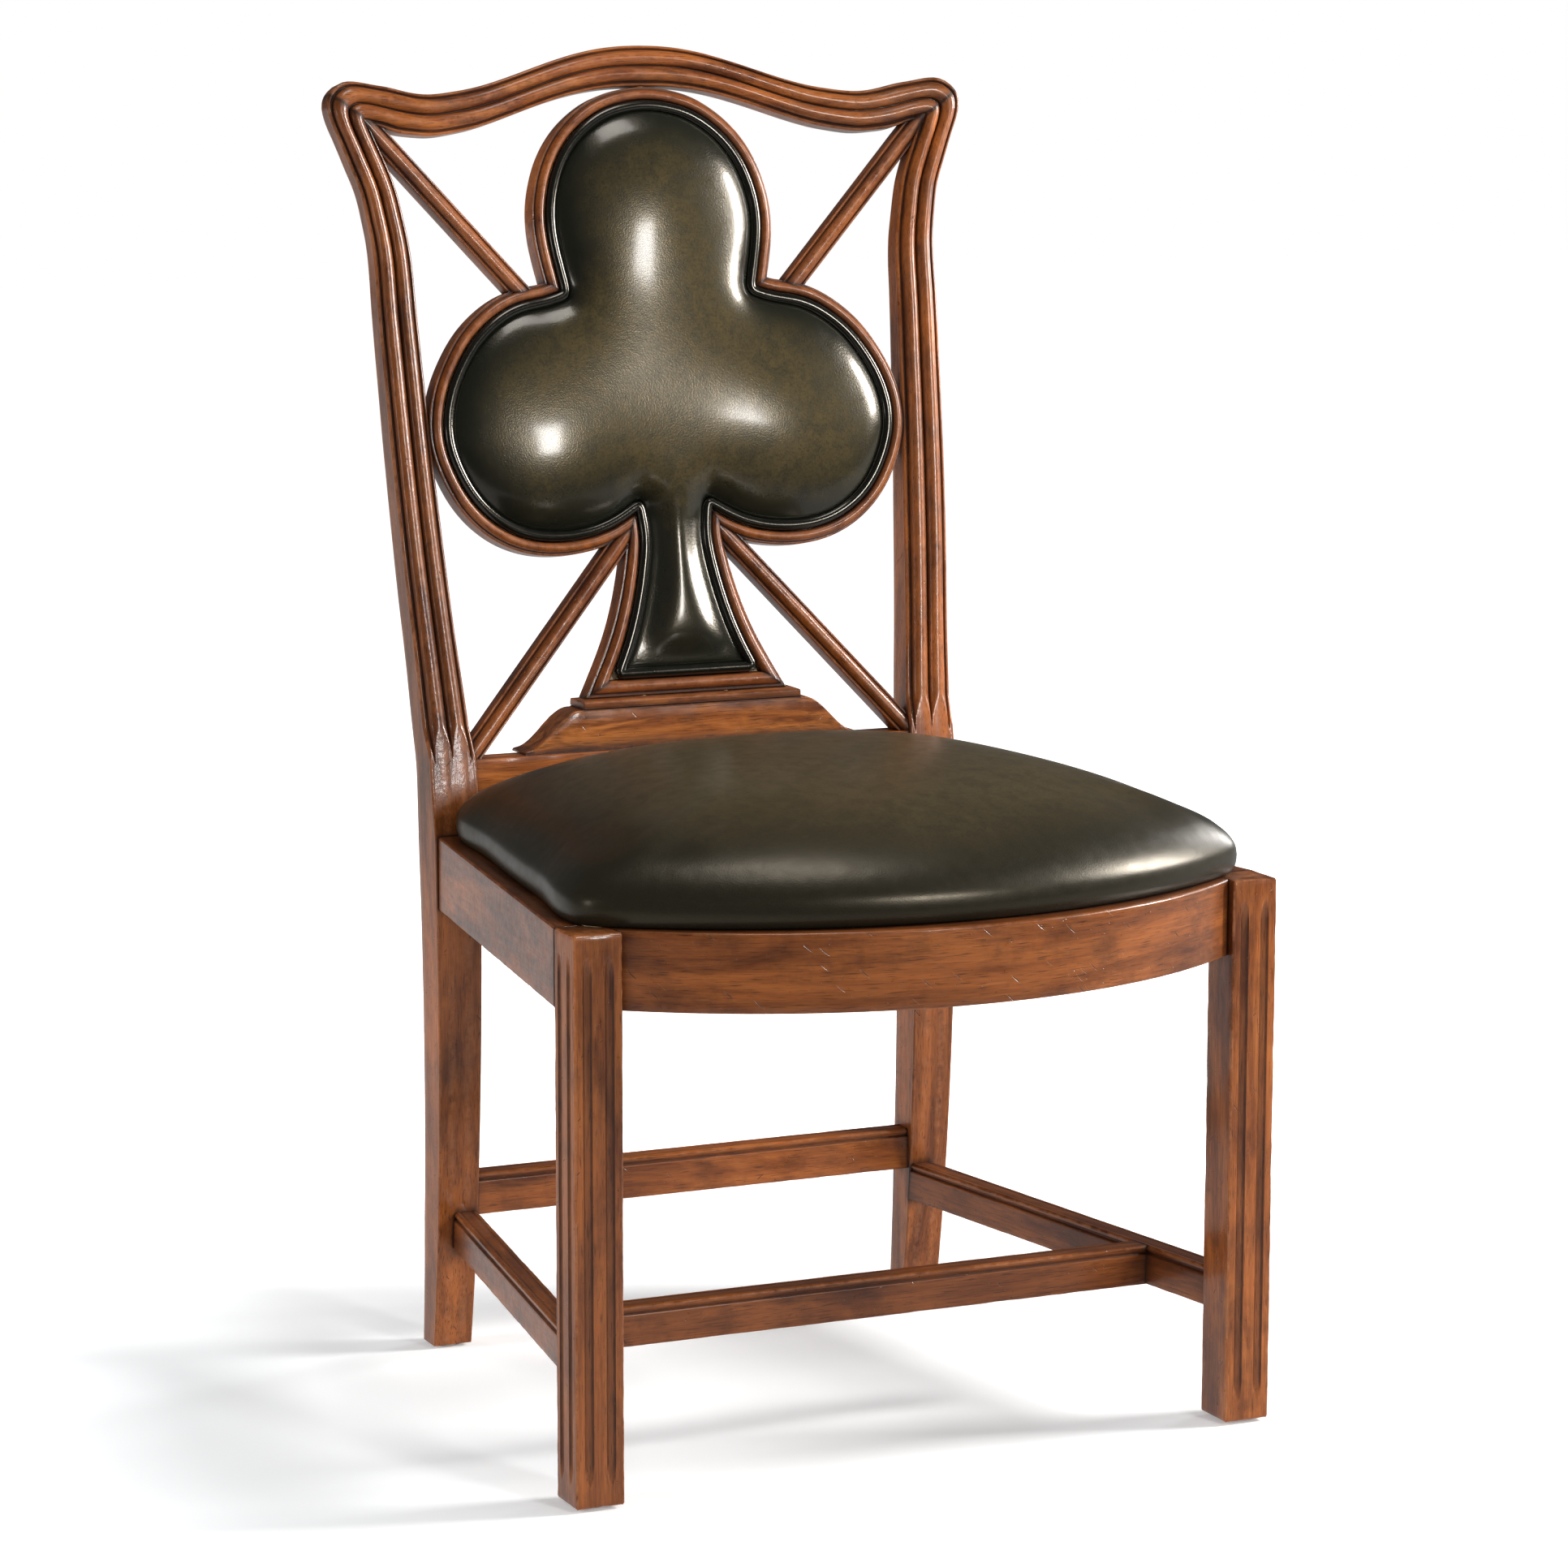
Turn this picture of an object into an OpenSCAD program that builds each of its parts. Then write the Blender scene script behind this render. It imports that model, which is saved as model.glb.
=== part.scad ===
// Side chair with a club-shaped upholstered back in a moulded, bowed back frame
// X runs left to right as the chair faces -Y, and Z is up from the floor

/* [Overall] */
// Height of the crest rail's top above the floor
overall_h = 1031.5; // [1015:0.5:1060]
// Width across the outer faces of the front legs
front_w = 568.5; // [556:0.5:600]
// Width across the outer faces of the back posts at the seat
rear_w = 458; // [454:1:480]
// From the front faces of the front legs to those of the back posts
seat_d = 422; // [405:1:445]
// Height of the front and side seat rails' top edges
rail_top = 420.5; // [405:0.5:432]
// Angle that the back leans from upright
back_lean = 10.2; // [8.5:0.1:12]
// How far the middle of the back is set behind its two ends
back_bow = 12; // [8:0.5:15]

/* [Legs and posts] */
// Side of the square front leg
leg_w = 37.5; // [35:0.5:41]
// Width of a back post at the floor
foot_w = 32; // [29:0.5:36]
// Depth of a back post at the floor
foot_t = 26; // [24:0.5:30]
// Width of a back post at the seat
post_w = 39; // [37:0.5:42]
// Depth of a back post at the seat rails
post_t = 40; // [38:0.5:44]
// Depth of a back post at its top
post_top_t = 22; // [20:0.5:25]
// How far a back foot rakes back behind the seat
foot_rake = 26; // [18:1:34]
// Distance between the two flutes on a leg face
flute_pitch = 17; // [15:0.5:19]
// Radius of the cutter that makes a flute
flute_r = 4; // [3.6:0.1:4.4]
// Depth of a flute
flute_deep = 2.2; // [1.6:0.1:2.8]
// From a flute's ends to the leg's top and foot
flute_stop = 15; // [11:1:24]
// Diameter of a foot glide
glide_d = 20; // [17:0.5:23]
// Thickness of a foot glide
glide_h = 2.5; // [2:0.5:4]

/* [Seat frame] */
// Height of the front and side seat rails
rail_h = 58; // [52:1:64]
// Thickness of the front and side seat rails
rail_t = 22; // [20:0.5:23]
// How far the front rail bows out between the front legs
rail_bow = 86; // [70:1:92]
// How far the front rail's ends lie behind the legs' front faces
rail_recess = 8; // [6.5:0.5:8.5]
// How far a side rail's back end lies inside the post's outer face
side_inset = 2.5; // [1.5:0.5:4]
// How far the rear rail stands above the side rails
rear_rail_rise = 57; // [48:1:62]
// How far the rear rail's face lies behind the posts' faces at the seat
rear_rail_inset = 14; // [13:0.5:16]
// Thickness of the rear seat rail
rear_rail_t = 24; // [20:0.5:24]
// Height of the corner blocks and of the rear cleat
block_h = 22; // [18:1:28]

/* [Stretchers] */
// Height of the side and cross stretchers
bar_h = 31; // [27:1:34]
// Thickness of every stretcher
bar_t = 20; // [17:0.5:22]
// Height of the side and cross stretchers' undersides above the floor
low_bar_z = 84; // [74:1:88]
// From the front legs' faces to the cross stretcher's face
cross_y = 114; // [90:1:150]
// Height of the rear stretcher's underside above the floor
rear_bar_z = 110; // [108:1:125]
// Height of the rear stretcher
rear_bar_h = 34; // [30:1:38]

/* [Back] */
// Width of the crest rail and post moulding on its face
crest_w = 32.5; // [31:0.5:34]
// Thickness of the crest rail
crest_t = 22; // [20:0.5:24]
// How far the crest dips beside its middle arch
crest_dip = 38; // [34:1:42]
// How far the ears stand below the middle of the crest
ear_drop = 29.5; // [26:0.5:33]
// Outward flare of the posts from the seat to the shoulder
post_flare = 16; // [12:0.5:20]
// Width of the club frame on its face
ring_w = 10.5; // [9.5:0.5:11.5]
// Depth of the club frame
ring_t = 22; // [20:0.5:24]
// Width of the rebate lip behind the pad board
lip_w = 9; // [8:0.5:10]
// Width across the club's side lobes, inside its frame
club_w = 391; // [370:1:396]
// Half width of the club's stem at its foot
stem_foot = 66.5; // [58:0.5:68]
// Height of the ogee shoe under the club
shoe_h = 33.5; // [29:0.5:36]
// Length of the ogee shoe
shoe_w = 290; // [270:2:300]
// Depth of the ogee shoe
shoe_t = 29; // [27:0.5:32]
// Height of the block that caps the shoe
cap_h = 6; // [5:0.5:8]
// Length of the block that caps the shoe
cap_w = 190; // [180:1:200]
// Width of a diagonal bar
strut_w = 17; // [14:0.5:18]
// Depth of a diagonal bar
strut_t = 19; // [16:0.5:20]

/* [Upholstery] */
// Height of the seat cushion's crown above the rails
seat_crown = 88; // [70:1:96]
// From the rails' outer faces to the cushion's widest line
seat_margin = 11; // [10:0.5:14]
// Thickness of the plywood seat board
seat_board_t = 12; // [9:0.5:15]
// Height of the club pad's crown above its welt
pad_crown = 28; // [20:1:34]
// Thickness of the pad's plywood board
pad_board_t = 8; // [7:0.5:8.5]
// Thickness of the leather
hide_t = 1.5; // [1.2:0.1:2]
// Diameter of the welt round the pad
welt_d = 9; // [8:0.5:9.5]

/* [Joinery] */
// Length of the seat rails' tenons
tenon_l = 17; // [13:1:18]
// Thickness of the tenons
tenon_t = 8; // [6:0.5:9]
// Length of the stretchers' tenons
bar_tenon_l = 13; // [10:0.5:15]
// Diameter of the wood screws' shanks
screw_d = 4; // [3.5:0.1:4.4]
// Glue gap round a tenon, dowel or screw
gap = 0.15; // [0.1:0.05:0.25]

/* [Hidden] */
wood = "sienna";
hide = "#33352c";
welt_hide = "#1d201c";
steel = "silver";

front_half = front_w / 2;
leg_in = front_half - leg_w;
post_out = rear_w / 2;
post_in = post_out - post_w;

// Bowed front rail
bow_r = (leg_in * leg_in + rail_bow * rail_bow) / (2 * rail_bow);
bow_y = rail_recess + bow_r - rail_bow;
rail_z = rail_top - rail_h;

// Plan angle of the side rails and of the side stretchers
side_turn = atan((front_half - post_out + side_inset) / (seat_d - leg_w));
side_slope = tan(side_turn);
rail_skew = rail_t / cos(side_turn);

// Rear rail and shoe
rear_y = seat_d + rear_rail_inset;
rear_top = rail_top + rear_rail_rise;
shoe_y = rear_y + 5;
cap_z = rear_top + shoe_h;
cap_top = cap_z + cap_h;

// Back surface: a cylinder whose axis leans with the back
back_half = 215;
back_r = (back_half * back_half + back_bow * back_bow) / (2 * back_bow);

function climb(z) = (z - rail_top) / cos(back_lean);
function bow_at(x) = back_bow - back_r + sqrt(back_r * back_r - x * x);
function clamp01(v) = min(1, max(0, v));
function mix(a, b, t) = a + (b - a) * t;

// A face set behind the back's front line stands lower by the lean, so these heights allow for it
function lean_drop(n) = n * sin(back_lean);
// The club frame's width at its foot, as a share of its width round the lobes
base_grow = 1.26;
top_z = overall_h + lean_drop(back_bow + 6.5);
crest_foot = top_z - crest_w;
club_top = crest_foot - 0.5 - ring_w;
club_foot = cap_top + ring_w * base_grow + lean_drop(back_bow + 6.2);

// A point on the leaning back: x across, z up the face, and depth d behind it
function leaned(x, z, n) = [
    x,
    seat_d + climb(z) * sin(back_lean) + n * cos(back_lean),
    z - n * sin(back_lean)
];
function on_back(x, z, d) = leaned(x, z, bow_at(x) + d);

// Crest and post moulding, from its inner edge at 0 to its outer edge at 1, with depths
moulding = [
    [0, 6.5], [0.04, 5], [0.12, 5], [0.15, 2.4], [0.21, 0.7], [0.3, 0], [0.39, 0.7], [0.455, 2.6],
    [0.5, 5], [0.545, 2.6], [0.61, 0.7], [0.7, 0], [0.79, 0.7], [0.85, 2.4], [0.88, 5], [0.96, 5], [1, 6.5]
];
back_edge = 2;
function mould_line(t, relief) = concat(
    [for (m = moulding) [m[0], m[1] * relief]],
    [[1, t - back_edge], [0.94, t], [0.06, t], [0, t - back_edge]]
);

// Shoulder of the back frame, where post and crest are mitred
ear_x = post_out + post_flare;
ear_z = top_z - ear_drop;
dip_z = top_z - crest_dip;
mid_x = ear_x - 1.815 * crest_w;
// A station across the moulding near the ear: inner x and z, then outer x and z, in crest widths
function near_ear(a, b, c, d) = [ear_x + a * crest_w, ear_z + b * crest_w, ear_x + c * crest_w, ear_z + d * crest_w];
mitre = near_ear(-0.138, -1.015, 0.849, -0.326);

// Crest stations from the right mitre to the middle: inner x and z, outer x and z
crest_half = [
    mitre,
    near_ear(-0.169, -1.028, 0.569, -0.068),
    near_ear(-0.277, -1.055, 0.185, 0),
    near_ear(-0.492, -1.092, -0.246, -0.055),
    near_ear(-0.862, -1.206, -0.738, -0.126),
    near_ear(-1.292, -1.262, -1.262, -0.237),
    [mid_x, dip_z - 0.8 - crest_w, mid_x, dip_z - 0.8],
    for (a = [9 : -1 : 0])
        let (
            x = mid_x * a / 10,
            rise = crest_dip * (0.5 + 0.5 * cos(180 * pow(a / 10, 1.12))),
            turn = 5.5 * sin(180 * a / 10)
        )
        [x + turn * 0.4, dip_z + rise - crest_w + 0.8 * turn / 5, x - turn * 0.4, dip_z + rise]
];
function across(s) = [-s[0], s[1], -s[2], s[3]];
crest_line = concat(crest_half, [for (i = [len(crest_half) - 2 : -1 : 0]) across(crest_half[i])]);

function back_ring(s, t, relief = 1, bow_share = 1) = [
    for (m = mould_line(t, relief))
        let (x = s[0] + (s[2] - s[0]) * m[0], z = s[1] + (s[3] - s[1]) * m[0])
        leaned(x, z, bow_at(x) * bow_share + m[1])
];

// Back post: the raked foot, then the moulded part above the seat
foot_steps = [0, 0.09, 0.18, 0.3, 0.46, 0.64, 0.82, 1];
function rake_at(z) = foot_rake * pow(1 - z / rail_top, 2.8);
function post_depth(z) = lookup(z, [
    [0, foot_t], [rail_top * 0.25, foot_t + (post_t - foot_t) * 0.5], [rail_top * 0.48, foot_t + (post_t - foot_t) * 0.64],
    [rail_top * 0.83, post_t - 2.5], [rail_top, post_t], [rail_top + 45, post_t - 6], [rail_top + 90, post_t - 7.5],
    [rail_top + 180, post_t - 9.5], [ear_z - 200, post_top_t + 3], [ear_z - 100, post_top_t]
]);
function foot_ring(f) =
    let (
        z = glide_h + (rail_top - glide_h) * f,
        inner = post_in + (post_out - foot_w - 4.5 - post_in) * pow(1 - f, 1.5),
        outer = inner + foot_w + (post_w - foot_w) * f
    )
    [
        for (m = mould_line(post_depth(z), 0))
            [inner + (outer - inner) * m[0], seat_d + rake_at(z) + m[1], z]
    ];
// Post stations above the seat: share of the way to the shoulder, outward drift, width, relief
post_steps = [
    [0.07, 0, 39, 0], [0.105, 0.1, 38.9, 0], [0.13, 0.4, 38.9, 0.55], [0.155, 1.2, 38.8, 1], [0.24, 0.2, 37, 1],
    [0.33, 0.4, 36.5, 1], [0.42, 0.56, 36, 1], [0.52, 0.7, 35, 1], [0.62, 0.83, 34.3, 1], [0.71, 0.92, 33.5, 1], [0.79, 0.96, 32.2, 1]
];
function drift(f) = post_flare * lookup(f, [
    [0, 0], [0.105, 0], [0.155, 0.1], [0.24, 0.24], [0.33, 0.44], [0.42, 0.6], [0.52, 0.74], [0.62, 0.84], [0.71, 0.91], [0.79, 1]
]);
post_rings = concat(
    [for (f = foot_steps) foot_ring(f)],
    [
        for (p = post_steps)
            let (
                z = rail_top + (ear_z - rail_top) * p[0],
                outer = post_out + drift(p[0]),
                station = [outer - p[2] * post_w / 39, z, outer, z]
            )
            back_ring(station, post_depth(z), p[3], clamp01(p[0] * 3 - 0.2))
    ],
    [
        for (s = [
            near_ear(-0.898, -3.231, 0.077, -3.292), near_ear(-0.754, -2.554, 0.2, -2.646),
            near_ear(-0.538, -1.938, 0.415, -2.062), near_ear(-0.338, -1.477, 0.692, -1.354),
            near_ear(-0.215, -1.185, 0.898, -0.8)
        ])
            back_ring(s, post_top_t)
    ],
    [back_ring(mitre, crest_t)]
);

// Outline of the opening in the club frame, right half from the top: x, and drop below the top.
// It is drawn 391 wide and 457 high, and is then fitted to its width and between crest and shoe.
drawn_w = 391;
drawn_h = 457;
drawn_stem = 33.5;
club_fit = [club_w / drawn_w, (club_top - club_foot) / drawn_h];
lobe_line = [
    [0, 0], [19, 2], [37, 7], [54, 16.5], [69, 29.5], [81, 46], [90, 68], [94, 91], [92.5, 115], [88.5, 135],
    [85.5, 149.5], [101, 154], [119, 157], [135, 162.5], [150, 171.5], [165, 184.5], [179, 203], [189.5, 223],
    [195.5, 245], [195.5, 266], [190, 285], [180, 305], [167, 321], [149, 334.5], [128, 343], [105, 346.2],
    [84, 345.3], [66, 341.8], [49, 335.3], [drawn_stem, 326.7]
];
function fitted(p) =
    let (x = p[0] * club_fit[0])
    [x, club_top - p[1] * club_fit[1] - lean_drop(back_bow - bow_at(x))];
notch_top = 10;
notch_low = len(lobe_line) - 1;
stem_x0 = fitted(lobe_line[notch_low])[0];
stem_top = fitted(lobe_line[notch_low])[1];
stem_line = [[0.14, -1.8], [0.3, 0.5], [0.47, 5], [0.64, 11], [0.81, 19], [1, 30.5]];
function stem_x(s) = stem_x0 + (s[1] < 0 ? s[1] : s[1] * (stem_foot - stem_x0) / 30.5);
club_half = concat(
    [for (p = lobe_line) fitted(p)],
    [for (s = stem_line) [stem_x(s), stem_top + (club_foot - stem_top) * s[0]]],
    [[stem_foot / 2, club_foot], [0, club_foot]]
);
half_n = len(club_half) - 1;
foot_corner = half_n - 2;
club_n = 2 * half_n;
club_line = concat(club_half, [for (i = [half_n - 1 : -1 : 1]) [-club_half[i][0], club_half[i][1]]]);

// How much wider the club frame is at each outline point than round the lobes
function grow_at(i) =
    let (k = i % club_n, j = min(k, club_n - k))
    j <= notch_low ? 1 : 1 + (base_grow - 1) * min(1, (j - notch_low) / (foot_corner - notch_low));

// Each outline point moved out by a, with true mitres at the corners
function unit(v) = v / norm(v);
function left_of(v) = [-v[1], v[0]];
function club_out(i, a) =
    let (
        p = club_line[i % club_n],
        n1 = left_of(unit(p - club_line[(i + club_n - 1) % club_n])),
        n2 = left_of(unit(club_line[(i + 1) % club_n] - p))
    )
    p + (n1 + n2) * (a > 0 ? a * grow_at(i) : a) / (1 + n1 * n2);
function club_offset(a) = [for (i = [0 : club_n - 1]) club_out(i, a)];

// Section of the club frame: distance out from its opening, and depth
seat_step = ring_t - 5.3;
ring_line = [
    [-lip_w, ring_t], [-lip_w, seat_step], [0, seat_step], [0, 4], [1.2, 1.2], [ring_w - 6.5, 0],
    [ring_w - 3.7, 1.2], [ring_w - 2.5, 3.5], [ring_w - 2.5, 5.2], [ring_w, 6.2], [ring_w, ring_t]
];
function club_ring(i, section) = [
    for (s = section) let (q = club_out(i, s[0])) on_back(q[0], q[1], s[1])
];

// Extreme front and back of the chair, for an origin at the middle of its footprint
front_y = rail_recess - rail_bow;
back_y = on_back(0, top_z - 0.06 * crest_w, crest_t)[1];
mid_y = (front_y + back_y) / 2;

module placed() {
    translate([0, -mid_y, 0])
        children();
}

module mirrored(side) {
    mirror([side < 0 ? 1 : 0, 0, 0])
        children();
}

// A solid over rings of equal counts, each end closed by a fan
module skinned(rings, closed = false, inside_out = false) {
    n = len(rings[0]);
    m = len(rings);
    middle = function (r) [for (k = [0 : 2]) [for (p = r) p[k]] * [for (p = r) 1] / n];
    points = concat([for (r = rings) each r], closed ? [] : [middle(rings[0]), middle(rings[m - 1])]);
    sides = [
        for (i = [0 : m - (closed ? 1 : 2)], j = [0 : n - 1])
            let (a = i * n + j, b = i * n + (j + 1) % n, c = ((i + 1) % m) * n + (j + 1) % n, d = ((i + 1) % m) * n + j)
            each [[a, c, b], [a, d, c]]
    ];
    ends = closed ? [] : [
        for (j = [0 : n - 1])
            each [[m * n, j, (j + 1) % n], [m * n + 1, (m - 1) * n + (j + 1) % n, (m - 1) * n + j]]
    ];
    faces = concat(sides, ends);
    polyhedron(points, inside_out ? [for (f = faces) [f[2], f[1], f[0]]] : faces, convexity = 8);
}

// Places a child drawn in the leaning plane: x across, z up the slope, y behind the face
module in_back() {
    translate([0, seat_d, rail_top])
        rotate([-back_lean, 0, 0])
            children();
}

// A flat outline in x and height, extruded from depth n0 to n1 behind the back's face
module back_slab(outline, n0, n1) {
    in_back()
        translate([0, n1, 0])
            rotate([90, 0, 0])
                linear_extrude(n1 - n0)
                    polygon([for (p = outline) [p[0], climb(p[1])]]);
}

// The part of a slab between depths d0 and d1 on the bowed surface
module bowed_slab(outline, d0, d1) {
    intersection() {
        back_slab(outline, -20, 60);
        in_back()
            translate([0, back_bow - back_r, 0])
                difference() {
                    cylinder(h = climb(top_z), r = back_r + d1, $fn = 720);
                    translate([0, 0, -1])
                        cylinder(h = climb(top_z) + 2, r = back_r + d0, $fn = 720);
                }
    }
}

// Tenons and mortises are one shape, and a mortise is larger by grow on each side
module block(x, y, z, grow = 0) {
    translate([x[0] - grow, y[0] - grow, z[0] - grow])
        cube([x[1] - x[0] + 2 * grow, y[1] - y[0] + 2 * grow, z[1] - z[0] + 2 * grow]);
}

rail_tenon_z = [rail_z + 7, rail_top - 10];

module front_rail_tenon(grow = 0) {
    y0 = rail_recess + 8;
    block([leg_in - 5, leg_in + tenon_l], [y0, y0 + tenon_t], rail_tenon_z, grow);
}

// A tenon along a side rail's or stretcher's axis, through the point [x, y]
module side_tenon(x, y, l0, l1, w, z, grow = 0) {
    translate([x, y, 0])
        rotate([0, 0, side_turn])
            block([-w / 2, w / 2], [l0, l1], z, grow);
}

rail_mid_x = front_half - rail_skew / 2;
rail_back_x = post_out - side_inset - rail_skew / 2;

module side_rail_tenons(grow = 0) {
    side_tenon(rail_mid_x, leg_w, -tenon_l, 6, tenon_t, rail_tenon_z, grow);
    side_tenon(rail_back_x, seat_d, -6, tenon_l - 1, tenon_t, rail_tenon_z, grow);
}

module rear_rail_tenon(grow = 0) {
    y0 = rear_y + 8;
    block([post_in - 5, post_in + tenon_l], [y0, y0 + tenon_t], [rail_z + 8, rail_top + 18], grow);
}

// Side stretcher axis: front end under the leg, running parallel to the side rail
side_bar_x = front_half - leg_w / 2 - 4;
side_bar_back_y = seat_d + rake_at(low_bar_z + bar_h);
low_tenon_z = [low_bar_z + 5, low_bar_z + bar_h - 6];
function side_bar_x_at(y) = side_bar_x - (y - leg_w) * side_slope;

module side_bar_tenons(grow = 0) {
    side_tenon(side_bar_x, leg_w, -bar_tenon_l, 5, tenon_t, low_tenon_z, grow);
    side_tenon(side_bar_x_at(side_bar_back_y), side_bar_back_y, -5, bar_tenon_l, tenon_t, low_tenon_z, grow);
}

cross_end_x = side_bar_x_at(cross_y + bar_t / 2) - bar_t / 2 / cos(side_turn);

module cross_tenon(grow = 0) {
    y0 = cross_y + (bar_t - tenon_t) / 2;
    block([cross_end_x - 5, cross_end_x + 9], [y0, y0 + tenon_t], low_tenon_z, grow);
}

rear_bar_y = seat_d + rake_at(rear_bar_z) + 3;
rear_bar_end = foot_inner(rear_bar_z);
function foot_inner(z) =
    let (f = (z - glide_h) / (rail_top - glide_h))
    post_in + (post_out - foot_w - 4.5 - post_in) * pow(1 - f, 1.5);

module rear_bar_tenon(grow = 0) {
    y0 = rear_bar_y + (bar_t - tenon_t) / 2;
    z = [rear_bar_z + 5, rear_bar_z + rear_bar_h - 6];
    block([rear_bar_end - 5, rear_bar_end + bar_tenon_l], [y0, y0 + tenon_t], z, grow);
}

glide_nail_l = 14;
front_glide = [front_half - leg_w / 2, leg_w / 2];
rear_glide = [foot_inner(glide_h) + foot_w / 2, seat_d + rake_at(0) + foot_t / 2];

module glide_nail(place, grow = 0) {
    translate([place[0], place[1], glide_h / 2])
        cylinder(h = glide_nail_l + grow, r = 1.2 + grow, $fn = 24);
}

// One stopped flute, standing on the face x = 0 with its cutter's middle outside
module flute() {
    z0 = glide_h + flute_stop;
    z1 = rail_top - flute_stop;
    out = flute_r - flute_deep;
    translate([0, -out, z0 + flute_r])
        cylinder(h = z1 - z0 - 2 * flute_r, r = flute_r, $fn = 48);
    for (z = [z0 + flute_r, z1 - flute_r])
        translate([0, -out, z])
            sphere(r = flute_r, $fn = 48);
}

module front_leg(side) {
    color(wood)
        placed()
            mirrored(side)
                difference() {
                    block([leg_in, front_half], [0, leg_w], [glide_h, rail_top]);
                    for (k = [-0.5, 0.5]) {
                        translate([front_half - leg_w / 2 + k * flute_pitch, 0, 0])
                            flute();
                        translate([front_half, leg_w / 2 + k * flute_pitch, 0])
                            rotate([0, 0, 90])
                                flute();
                    }
                    front_rail_tenon(gap);
                    side_rail_tenons(gap);
                    side_bar_tenons(gap);
                    glide_nail(front_glide, gap);
                }
}

module back_post(side) {
    color(wood)
        placed()
            mirrored(side)
                difference() {
                    skinned(post_rings);
                    side_rail_tenons(gap);
                    rear_rail_tenon(gap);
                    side_bar_tenons(gap);
                    rear_bar_tenon(gap);
                    strut_tenon(lower_strut, 1, gap);
                    strut_tenon(upper_strut, 1, gap);
                    mitre_spline_shape(gap);
                    glide_nail(rear_glide, gap);
                }
}

module crest_rail() {
    color(wood)
        placed()
            difference() {
                skinned([for (s = crest_line) back_ring(s, crest_t)]);
                for (side = [-1, 1])
                    mirrored(side) {
                        strut_tenon(upper_strut, 1, gap);
                        mitre_spline_shape(gap);
                    }
                crest_dowel_shape(gap);
            }
}

// Loose spline across the mitre of post and crest
spline_d = 11;
module mitre_spline_shape(grow = 0) {
    middle = [(mitre[0] + mitre[2]) / 2 + 3, climb((mitre[1] + mitre[3]) / 2) + 2];
    in_back()
        translate([middle[0], bow_at(middle[0]) + spline_d, middle[1]])
            rotate([0, -atan((mitre[3] - mitre[1]) / (mitre[2] - mitre[0])), 0])
                block([-7, 7], [0, 5], [-9, 9], grow);
}

module mitre_spline(side) {
    color("burlywood")
        placed()
            mirrored(side)
                mitre_spline_shape();
}

dowel_d = 7;
module crest_dowel_shape(grow = 0) {
    in_back()
        translate([0, back_bow + ring_t / 2, climb(club_top + 2) - grow])
            cylinder(h = 20 + 2 * grow, d = dowel_d + 2 * grow, $fn = 32);
}

module crest_dowel() {
    color("burlywood")
        placed()
            crest_dowel_shape();
}

base_dowel_x = 36;
module base_dowel_shapes(grow = 0) {
    for (x = [-base_dowel_x, base_dowel_x])
        translate([x, shoe_y + shoe_t - 9, cap_top - 20 - grow])
            cylinder(h = 26 + 2 * grow, d = dowel_d + 2 * grow, $fn = 32);
}

module club_base_dowels() {
    color("burlywood")
        placed()
            base_dowel_shapes();
}

module front_seat_rail() {
    color(wood)
        placed()
            difference() {
                union() {
                    intersection() {
                        translate([0, bow_y, rail_z])
                            cylinder(h = rail_h, r = bow_r, $fn = 360);
                        block([-leg_in, leg_in], [front_y - 1, leg_w + 10], [rail_z, rail_top]);
                    }
                    for (side = [-1, 1])
                        mirrored(side)
                            front_rail_tenon();
                }
                translate([0, bow_y, rail_z - 1])
                    cylinder(h = rail_h + 2, r = bow_r - rail_t, $fn = 360);
                for (side = [-1, 1])
                    mirrored(side)
                        front_block_screw(gap);
            }
}

function side_rail_plan(x0, x1, skew) = [
    [x0, leg_w], [x1, seat_d], [x1 - skew, seat_d], [x0 - skew, leg_w]
];

module side_seat_rail(side) {
    color(wood)
        placed()
            mirrored(side)
                difference() {
                    union() {
                        translate([0, 0, rail_z])
                            linear_extrude(rail_h)
                                polygon(side_rail_plan(front_half, post_out - side_inset, rail_skew));
                        side_rail_tenons();
                    }
                    side_block_screws(gap);
                }
}

module rear_seat_rail() {
    color(wood)
        placed()
            difference() {
                union() {
                    block([-post_in, post_in], [rear_y, rear_y + rear_rail_t], [rail_z, rear_top]);
                    for (side = [-1, 1])
                        mirrored(side)
                            rear_rail_tenon();
                }
                for (side = [-1, 1])
                    mirrored(side)
                        rear_block_screw(gap);
                cleat_screw_shapes(gap);
                shoe_screw_shapes(gap);
            }
}

// Stretcher section: flat sides, then a quirk and a small bead along both top edges
function stretcher_section(h) =
    let (w = bar_t / 2, side = [[w, 0], [w, h - 7.5], [w - 1.8, h - 6.3], [w - 1.8, h - 5.6], [w - 0.8, h - 3.8], [w - 1.2, h - 1.4], [w - 3, h]])
    concat(side, [for (i = [len(side) - 1 : -1 : 0]) [-side[i][0], side[i][1]]]);

module stretcher_bar(length, h) {
    rotate([90, 0, 90])
        linear_extrude(length)
            polygon(stretcher_section(h));
}

module side_stretcher(side) {
    length = (seat_d - leg_w) / cos(side_turn) + 60;
    color(wood)
        placed()
            mirrored(side)
                difference() {
                    union() {
                        difference() {
                            translate([side_bar_x, leg_w, low_bar_z])
                                rotate([0, 0, 90 + side_turn])
                                    translate([-20, 0, 0])
                                        stretcher_bar(length, bar_h);
                            block([0, front_half], [-40, leg_w], [0, rail_top]);
                            foot_front_cut();
                        }
                        side_bar_tenons();
                    }
                    cross_tenon(gap);
                }
}

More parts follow.
